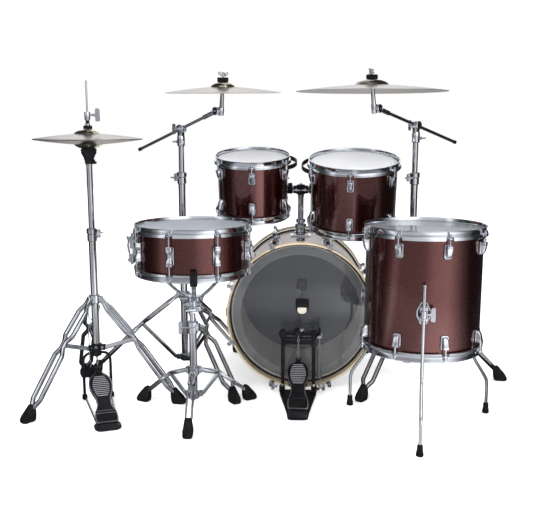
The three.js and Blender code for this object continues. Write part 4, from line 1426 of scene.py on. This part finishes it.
def add_footboard(name, node, body, heel, toe, where, widths, heel_body=None):
    """A cast board with a light rim, ribs across its lobe and a round pad at its heel.

    With a heel body, the heel stays on that body and the board turns on the hinge before it.
    """
    heel, toe = Vector(heel), Vector(toe)
    length = (toe - heel).length
    flat = where @ aimed(heel * MM, (toe - heel).cross(Vector((-1, 0, 0))))
    outline = board_outline(*widths, length)
    hinge_y = length * 0.2
    if heel_body:
        rest, rest_rim = board_and_rim(stretch(outline, 0, hinge_y - 7))
        piece(name + "_heel", rest, BLACK, heel_body, (), flat)
        piece(name + "_heel_rim", rest_rim, STEEL, heel_body, (), flat)
        outline = stretch(outline, hinge_y + 2, length)
    board, rim = board_and_rim(outline)
    lobe = widths[1]
    ribs = []
    for k in range(11):
        share = k / 10
        width = lobe * (0.30 + 0.42 * math.sin(math.pi * (0.13 + 0.74 * share)))
        y = length * (0.50 + 0.375 * share)
        ribs.append(box((width, 3.1, 2.6), (0, y, 3.4), 0.9))
    pad = lathe([(0, 2.6), (15, 2.6), (15, 4.0), (13.5, 4.8), (0, 4.8)], 40).shift(0, length * 0.11, 0)
    hinge = cylinder(5, -widths[3] / 2 + 2, widths[3] / 2 - 2, 0.8, 20).at(
        place(0, hinge_y, 0.5) @ turn_y(90))
    piece(name + "_board", [board, hinge], BLACK, body, [node], flat)
    piece(name + "_rim", rim, STEEL, body, (), flat)
    piece(name + "_ribs", ribs, PAD_GREY, body, (), flat)
    piece(name + "_pad", pad, RUBBER, heel_body or body, (), flat)


def chain(start, end, pitch=8.0, radius=1.0):
    """Oval links, each turned a quarter from the last."""
    start, end = Vector(start), Vector(end)
    count = max(2, round((end - start).length / pitch))
    links = []
    for i in range(count):
        centre = start.lerp(end, (i + 0.5) / count)
        half = (end - start).length / count * 0.62
        path = []
        for k in range(14):
            angle = 2 * math.pi * k / 14
            path.append((half * 0.5 * math.cos(angle), 0, half * math.sin(angle)))
        link = sweep(path, circle(radius, 8), closed=True)
        links.append(link.at(aimed(centre, end - start, (0, 1, 0)) @ turn_z(90 * (i % 2))))
    return merge(links)


HIHAT_HEEL_Y = -285  # the heel plate's edge, from the rod towards the player
HIHAT_BOARD_HEEL, HIHAT_BOARD_TOE = (0, HIHAT_HEEL_Y + 8, 17), (0, -22, 108)


def add_hihat_pedal(where):
    """Heel plate, upright frame, the two rods between them, the footboard and its chain."""
    half_frame = [(46, 10), (46, 60), (46, 130), (44, 150), (34, 163), (16, 168)]
    arch = [(-x, 8, z) for x, z in half_frame] + [(x, 8, z) for x, z in half_frame[::-1]]
    frame_bar = wire(arch, 4.8, 5, 16)
    feet = [box((17, 20, 17), (side * 46, 6, 12), 3.5) for side in (-1, 1)]
    heel_shape = plate(rounded(84, 66, 22, 6), 0.5, 10, 3.0).shift(0, HIHAT_HEEL_Y + 12, 0)
    block = merge([frame_bar, *feet, heel_shape, box((62, 14, 7), (0, HIHAT_HEEL_Y + 50, 8), 2.5)])
    rods = [rod((side * 32, HIHAT_HEEL_Y + 40, 11), (side * 44, -4, 12), 3.2, 0.6, 16)
            for side in (-1, 1)]
    piece("hihat_pedal_frame_bar", block, BLACK, "root", ["hihat_pedal_frame"], where)
    piece("hihat_pedal_link_rods", rods, CHROME, "root", (), where)
    add_footboard("hihat_foot", "hihat_footboard", "hihat_pedal", HIHAT_BOARD_HEEL,
                  HIHAT_BOARD_TOE, where, (25, 77, 47, 70), "root")
    clasp = [
        box((22, 24, 12), (0, -14, 116), 3.0),
        cylinder(4.5, -15, 15, 0.8, 16).at(place(0, -8, 120) @ turn_y(90)),
    ]
    piece("hihat_chain_clasp", clasp, BLACK, "hihat_pedal", (), where)
    links = chain((0, -6, 122), (0, 0, 176), 11.0, 1.8)
    piece("hihat_chain", links, STEEL, "hihat_rod", (), where)
    spring_wire = wire([(-22, 4, 352), (-22, 4, 300), (-14, 4, 288), (-9, 4, 280), (-23, 4, 262),
                        (-24, 4, 200), (-24, 2, 150), (-20, 2, 132), (-22, 2, 118)], 1.7, 6, 10)
    lever = plate([(-8, -26), (8, -28), (12, 0), (9, 26), (0, 34), (-9, 22), (-12, -4)], -4, 4, 1.4)
    piece("hihat_tension_wire", spring_wire, CHROME, "root", (), where)
    piece("hihat_anchor", lever.at(place(-20, 12, 96) @ turn_x(90)), BLACK, "root", (), where)


# ---------- snare stand ----------
def add_snare_stand():
    pivot = joint_point("snare_tilt")
    feet = [(-92, 219), (29, 209), (150, 201)]
    stand = Stand("snare_stand", pivot, 4.8, feet, 140, 0.42, 22, 43, 43, 288, 12.5, (6, 12.5), 9.5)
    add_tripod(stand, clamp_turn=150)
    upper = merge([
        cylinder(9.8, 150, 336, 0.6, 40), box((46, 24, 20), (5, 0, 352), 4.5),
        wing_bolt(15, 42, 14).at(place(-12, -8, 353) @ turn_z(20) @ turn_x(90)),
    ])
    lock = wing_bolt(25, 42, 13).at(place(-9, -12, 290) @ turn_y(-90))
    stand.piece("height_lock", lock, CHROME)
    stand.piece("upper_tube_bar", upper, CHROME, ["snare_stand_upper_tube"], "snare_height")
    add_basket()


def add_basket():
    """A hub with three bent arms, each with a rubber-sleeved claw round the snare's lower hoop."""
    drum = SNARE
    hub = drum.where.translation
    where = standing(hub, 4.8)
    tilt = where.inverted() @ joint_point("snare_tilt") / MM
    hoop_low = (hub.z / MM) - drum.edge - drum.rise
    hub_z = 388
    reach = drum.radius + 16
    pieces = [
        cylinder(13, tilt.z, hub_z + 6, 1.2, 32).shift(tilt.x, tilt.y, 0),
        cylinder(25, hub_z - 7, hub_z + 9, 2.5, 40), cylinder(6, hub_z - 26, hub_z, 1.0, 24),
        cylinder(8.5, -38, 38, 1.5, 32).at(place(-8, -4, hub_z + 1) @ turn_y(90)),
        cylinder(13.5, -24, 24, 1.8, 32).at(place(*tilt) @ turn_y(90)),
        cylinder(7, -29, 29, 1.0, 6).at(place(*tilt) @ turn_y(90)),
        wing_bolt(9, 36).at(place(0, 0, hub_z - 24) @ turn_x(180)),
    ]
    sleeves = []
    for angle in (-87, 37, 157):
        path = [(12, 0, hub_z + 2), (30, 0, hub_z + 4), (62, 0, hub_z + 22), (104, 0, hub_z + 52),
                (150, 0, hoop_low - 13), (reach - 12, 0, hoop_low - 9), (reach, 0, hoop_low - 2),
                (reach + 2, 0, hoop_low + 14)]
        pieces.append(sweep(smooth_path(path, 4), rounded(15, 6.5, 2.4)).at(turn_z(angle)))
        pieces.append(knuckle(6, 11, (27, 0, hub_z + 3)).at(turn_z(angle)))
        claw_path = [(reach - 26, 0, hoop_low - 6), (reach - 8, 0, hoop_low - 7),
                     (reach + 1, 0, hoop_low), (reach + 2.5, 0, hoop_low + 16),
                     (reach + 2.5, 0, hoop_low + 31), (reach - 1, 0, hoop_low + 35)]
        sleeve = sweep(smooth_path(claw_path, 4), rounded(23, 8.5, 3.5))
        sleeves.append(sleeve.at(turn_z(angle)))
    piece("snare_basket_arms", pieces, CHROME, "snare", ["snare_basket"], where)
    piece("snare_basket_sleeves", sleeves, RUBBER, "snare", (), where)


# ---------- bass drum pedal ----------
POST_HALF, POST_TALL, AXLE_Z = 55, 226, 215
BEATER_SIDE = 12  # the beater stands this far to the right of the footboard's middle
ROCKER_X = 74  # the rocker's arm on the axle, to the right of the footboard's middle
BASS_HEEL_Y = -242  # the footboard's heel, from the axle's line towards the player


def pedal_base():
    """A cast base, wide at the posts and narrow at the heel, drawn solid without the windows beside the
    board.
    """
    slab = [(-62, 22), (-66, 2), (-64, -30), (-38, -205), (-33, -262), (-22, -270),
            (22, -270), (33, -262), (38, -205), (64, -30), (66, 2), (62, 22)]
    return plate(slab, 0.3, 4.5, 1.2)


def add_bass_pedal():
    axle = joint_point("bass_beater_swing")
    where = place(axle.x, axle.y - 6 * MM, 0)
    hoop_y = (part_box("bass_batter_hoop")[0].y - where.translation.y) / MM
    posts = []
    for side in (-1, 1):
        x = side * POST_HALF
        posts += [
            box((12.5, 16, POST_TALL - 26), (x, 4, POST_TALL / 2 - 12), 2.5),
            box((22, 25, 28), (x, 5, AXLE_Z), 3.5),
            box((21, 26, 22), (x + side * 2, 4, 14), 4.0),
            sweep([(x - side * 6, 4, 172), (x - side * 9, 4, 181), (x - side * 18, 4, 186)],
                  rounded(12, 9, 2)),
        ]
    bars = [box((94, 9, 6), (0, 6, z), 1.5) for z in (200, 181)] + [box((94, 13, 9), (0, 5, 188), 2.0)]
    clamp = merge([
        box((38, 64, 5), (0, 40, 4), 1.5), box((36, 18, 17), (0, hoop_y - 14, 12), 3.0),
        box((38, 30, 6), (0, hoop_y + 12, 15.5), 2.0),
        cylinder(5, -34, 34, 0.8, 20).at(place(0, hoop_y - 12, 17) @ turn_y(90)),
        box((62, 44, 23), (0, BASS_HEEL_Y - 2, 13), 9.0),
    ])
    spring_foot = box((26, 11, 8), (64, -2, 16), 2.0)
    piece("bass_pedal_posts", [*posts, *bars, spring_foot], BLACK, "root",
          ["bass_pedal_frame"], where)
    piece("bass_pedal_base", [pedal_base(), clamp], BLACK, "root", (), where)
    screws = [
        wing_bolt(10, 26, 11).at(place(side * 76, 8, 20) @ turn_y(90 * side)) for side in (-1, 1)
    ]
    screws += [hex_bolt(4, 4).at(place(side * POST_HALF, -8, 30) @ turn_x(90)) for side in (-1, 1)]
    piece("bass_pedal_screws", screws, CHROME, "root", (), where)
    heel, toe = (0, BASS_HEEL_Y, 27), (0, 10, 119)
    add_footboard("bass_foot", "bass_pedal_footboard", "bass_footboard", heel, toe, where,
                  (23, 77, 49, 68))
    piece("bass_chain_clasp", box((20, 15, 14), (0, 6, 121), 3.0), BLACK, "bass_footboard", (), where)
    add_beater_assembly(axle)


def add_beater_assembly(axle):
    """The axle with its cam, beater and rocker, and the coil spring that pulls the rocker down."""
    here = place(axle.x, axle.y, axle.z)
    lean = turn_x(43)
    across = turn_y(90)
    cam = merge([
        cylinder(5.2, -70, 80, 0.6, 24).at(across),
        cylinder(21, -9, 9, 2.0, 40).at(across),
        box((26, 27, 22), (0, 0, 8), 4.0).at(turn_x(20)),
        cylinder(9, -18, 18, 1.2, 24).at(across),
        box((9, 52, 15), (ROCKER_X, -13, 0), 3.5),
        box((9, 15, 40), (ROCKER_X, 2, 4), 3.0),
    ])
    piece("bass_cam", cam, BLACK, "bass_beater", ["bass_pedal_beater"], here)
    bolts = merge([
        hex_bolt(4.2, 5).at(place(ROCKER_X, -38, 0) @ turn_x(90)),
        hex_bolt(3.6, 4).at(place(78, -20, 0) @ across),
        hex_bolt(5, 6).at(place(79, 0, 0) @ across),
        cylinder(3.2, -9, 9, 0.5, 16).at(place(ROCKER_X, -30, -4) @ across),
    ])
    piece("bass_rocker_bolts", bolts, CHROME, "bass_beater", (), here)
    side_step = place(BEATER_SIDE, 0, 0)
    shaft = merge([cylinder(3.4, 8, 172, 0.5, 20), cylinder(8, 14, 30, 1.5, 6)]).at(side_step @ lean)
    piece("bass_beater_shaft", shaft, CHROME, "bass_beater", (), here)
    head = side_step @ lean @ place(0, 0, 183)
    shell = merge([
        box((44, 30, 17), (0, 0, 13), 3.5),
        box((6, 26, 36), (-19, 0, 1), 2.5), box((6, 26, 36), (19, 0, 1), 2.5),
    ]).at(head)
    felt_block = loft_block(31, 34, -31, 8).at(head)
    piece("bass_beater_shell", shell, BLACK, "bass_beater", (), here)
    piece("bass_beater_felt", felt_block, CREAM_FELT, "bass_beater", (), here)
    links = chain((0, -22, -2), (0, -6, -90), 11.0, 1.7)
    piece("bass_chain", links, STEEL, "bass_beater", (), here)
    low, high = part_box("bass_pedal_spring")
    centre = (low + high) / 2
    add_return_spring(centre.x, centre.y, low.z / MM, high.z / MM)


def loft_block(wide, thick, low, high):
    """A felt block with a round lower end."""
    levels = []
    for k in range(13):
        share = k / 12
        z = low + (high - low) * share
        taper = 1 if share > 0.45 else math.sqrt(max(0.05, 1 - ((0.45 - share) / 0.46) ** 2))
        outline = rounded(wide * taper, thick * (0.8 + 0.2 * taper), 5)
        levels.append([(x, y, z) for x, y in outline])
    return loft(levels)


def add_return_spring(x, y, low, high):
    """An extension spring between two eye bolts. The real one stretches as the rocker comes up; this mesh
    rides on no body and stays fixed.
    """
    coil_low, coil_high = low + 38, high - 48
    turns, radius = 22, 6.0
    path = [(0, 0, low + 16), (0, 0, coil_low - 8), (radius * 0.6, 0, coil_low - 3)]
    for k in range(turns * 14 + 1):
        angle = 2 * math.pi * k / 14
        height = coil_low + (coil_high - coil_low) * k / (turns * 14)
        path.append((radius * math.cos(angle), radius * math.sin(angle), height))
    path += [(radius * 0.5, 0, coil_high + 4), (0, 0, coil_high + 9), (0, 0, high - 20)]
    coil = sweep(path, circle(1.25, 8))
    eyes = [
        cylinder(2.2, low, low + 18, 0.4, 12), cylinder(4.6, low + 1, low + 5, 0.5, 6),
        cylinder(2.2, high - 24, high, 0.4, 12),
        tube_ring(2.4, 5, -1.6, 1.6, 0.7, 20).at(place(0, 0, high - 28) @ turn_x(90)),
        tube_ring(2.4, 5, -1.6, 1.6, 0.7, 20).at(place(0, 0, low + 22) @ turn_x(90)),
    ]
    where = place(x, y, 0)
    whole = merge([coil, *eyes])
    made = piece("bass_return_spring", whole, STEEL, None, ["bass_pedal_spring"], where)
    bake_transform(made)


# ---------- stage ----------
def floor_white():
    m = Nodes("stage_white", Roughness=0.9, Emission_Color=(1, 1, 1, 1), Emission_Strength=0.4)
    white = (0.93, 0.93, 0.935)
    cloud = m.noise(1.5, 2.0)
    m.set("Base Color", m.ramp(cloud, (0.4, white), (0.6, tuple(0.99 * c for c in white))))
    return m.material


def stage_mesh(name, points, faces, material):
    mesh = bpy.data.meshes.new(name)
    mesh.from_pydata(points, [], faces)
    mesh.materials.append(material)
    made = bpy.data.objects.new(name, mesh)
    bpy.context.scene.collection.objects.link(made)
    return made


def area_light(name, position, target, size, power):
    data = bpy.data.lights.new(name, "AREA")
    data.shape, data.size, data.size_y = "RECTANGLE", size[0], size[1]
    data.energy = power
    light = bpy.data.objects.new(name, data)
    bpy.context.scene.collection.objects.link(light)
    light.location = position
    light.visible_glossy = False
    light.rotation_euler = (Vector(target) - Vector(position)).to_track_quat("-Z", "Y").to_euler()


SURROUND_RADIUS, SURROUND_HEIGHT = 3.4, 2.3  # metres
SURROUND = [
    (0.00, 0.60), (0.09, 0.60), (0.11, 0.02), (0.22, 0.02), (0.29, 0.05), (0.325, 0.22), (0.345, 0.62),
    (0.36, 0.60), (0.385, 0.31), (0.46, 0.35), (0.51, 0.40), (0.55, 0.84), (0.62, 1.05), (0.66, 0.55),
    (0.69, 0.20), (0.73, 0.02), (0.925, 0.02), (0.945, 0.60), (1.00, 0.60),
]
# The same from the floor's middle out to the foot of the screens at 0.5, and up them to 1. Both greys
# multiply, and a half here leaves the first as it is.
CLIMB = [
    (0.0, 0.30), (0.14, 0.34), (0.19, 0.72), (0.30, 0.76), (0.38, 0.46), (0.52, 0.46), (0.68, 0.44),
    (0.78, 0.80), (1.0, 1.0),
]


def surround_material():
    """Grey screens that stand only in reflections. They draw the bands in chrome and lacquer."""
    m = Nodes("stage_surround")
    m.tree.nodes.remove(m.shader)
    split = m.node("SeparateXYZ", {"Vector": m.place})
    turn = m.math("ARCTAN2", split.outputs["X"], m.math("MULTIPLY", split.outputs["Y"], -1.0))
    share = m.math("ADD", m.math("DIVIDE", turn, 2 * math.pi), 0.5)
    tone = m.ramp(share, *[(at, (grey, grey, grey * 1.03)) for at, grey in SURROUND])
    floor_share = m.math("MULTIPLY", m.radius(), 0.5 / SURROUND_RADIUS)
    screen_share = m.math("MULTIPLY", split.outputs["Z"], 0.5 / SURROUND_HEIGHT)
    climb = m.math("ADD", floor_share, screen_share)
    level = m.ramp(climb, *[(at, (grey, grey, grey)) for at, grey in CLIMB])
    glow = m.node("Emission", {"Color": tone, "Strength": m.math("MULTIPLY", level, 2.0)})
    m.tree.links.new(glow.outputs[0], m.tree.nodes["Material Output"].inputs["Surface"])
    return m.material


def add_surround():
    """A ring of screens, with its floor and its ceiling, seen in reflections only."""
    sides = 96
    points, faces = [], []
    wide, tall, middle_radius, floor_z = SURROUND_RADIUS, SURROUND_HEIGHT, 0.01, 0.001
    for radius, height in (
            (middle_radius, floor_z), (wide, floor_z), (wide, tall), (middle_radius, tall)):
        for i in range(sides):
            angle = 2 * math.pi * i / sides
            points.append((radius * math.cos(angle), radius * math.sin(angle), height))
    for ring in range(3):
        for i in range(sides):
            low, j = ring * sides, (i + 1) % sides
            high = low + sides
            faces.append([low + i, low + j, high + j, high + i])
    made = stage_mesh("stage_surround", points, faces, surround_material())
    for ray in ("camera", "diffuse", "shadow", "transmission", "volume_scatter"):
        setattr(made, "visible_" + ray, False)


def add_stage():
    corners = [(x, y, -0.0005) for x, y in ((-9, -9), (9, -9), (9, 9), (-9, 9))]
    stage_mesh("stage_floor", corners, [[0, 1, 2, 3]], floor_white())
    add_surround()


def add_world():
    """White light from every side, the same at every height."""
    world = bpy.data.worlds.new("studio")
    world.use_nodes = True
    bpy.context.scene.world = world
    tree = world.node_tree
    split = tree.nodes.new("ShaderNodeSeparateXYZ")
    tree.links.new(tree.nodes.new("ShaderNodeTexCoord").outputs["Generated"], split.inputs[0])
    ramp = tree.nodes.new("ShaderNodeValToRGB")
    tree.links.new(split.outputs["Z"], ramp.inputs["Fac"])
    for element, height in zip(ramp.color_ramp.elements, (0.0, 0.55)):
        element.position, element.color = height, (1.0, 1.0, 1.0, 1)
    tree.links.new(ramp.outputs["Color"], tree.nodes["Background"].inputs["Color"])
    tree.nodes["Background"].inputs["Strength"].default_value = 1.0


def add_camera():
    data = bpy.data.cameras.new("photo_camera")
    data.lens, data.sensor_width = 52.55, 36
    data.clip_start, data.clip_end = 0.05, 60
    camera = bpy.data.objects.new("photo_camera", data)
    bpy.context.scene.collection.objects.link(camera)
    camera.location = (0.0556, -2.6824, 0.9414)
    camera.rotation_euler = (math.radians(90 - 10.22), 0, math.radians(2.5))
    bpy.context.scene.camera = camera


add_rack_tom(TOM1, 52, (-28, 92), "tom1_tilt")
add_rack_tom(TOM2, 123, (82.5, 202.5), "tom2_tilt")
add_tom_post()
add_floor_tom()
add_snare_drum()
add_bass_drum()
add_boom_stand("left", -60, [(5, 369), (120, 352), (242, 340)], 312, 58, 752, 215, 203, 37, 60)
add_boom_stand("right", -5.5, [(0, 335), (120, 335), (240, 335)], 318, 58, 752, 260, 254, 40, 5)
add_hihat()
add_snare_stand()
add_bass_pedal()
add_stage()
add_world()
add_camera()
area_light("key", (-1.6, -2.6, 3.2), (0, 0, 0.4), (2.4, 1.6), 90)
area_light("front", (0.1, -3.6, 0.8), (0.06, 0.3, 0.27), (2.2, 1.0), 55)
area_light("fill", (2.6, -1.8, 2.4), (0, 0, 0.5), (1.6, 2.2), 50)
bpy.context.scene.view_settings.view_transform = "Standard"
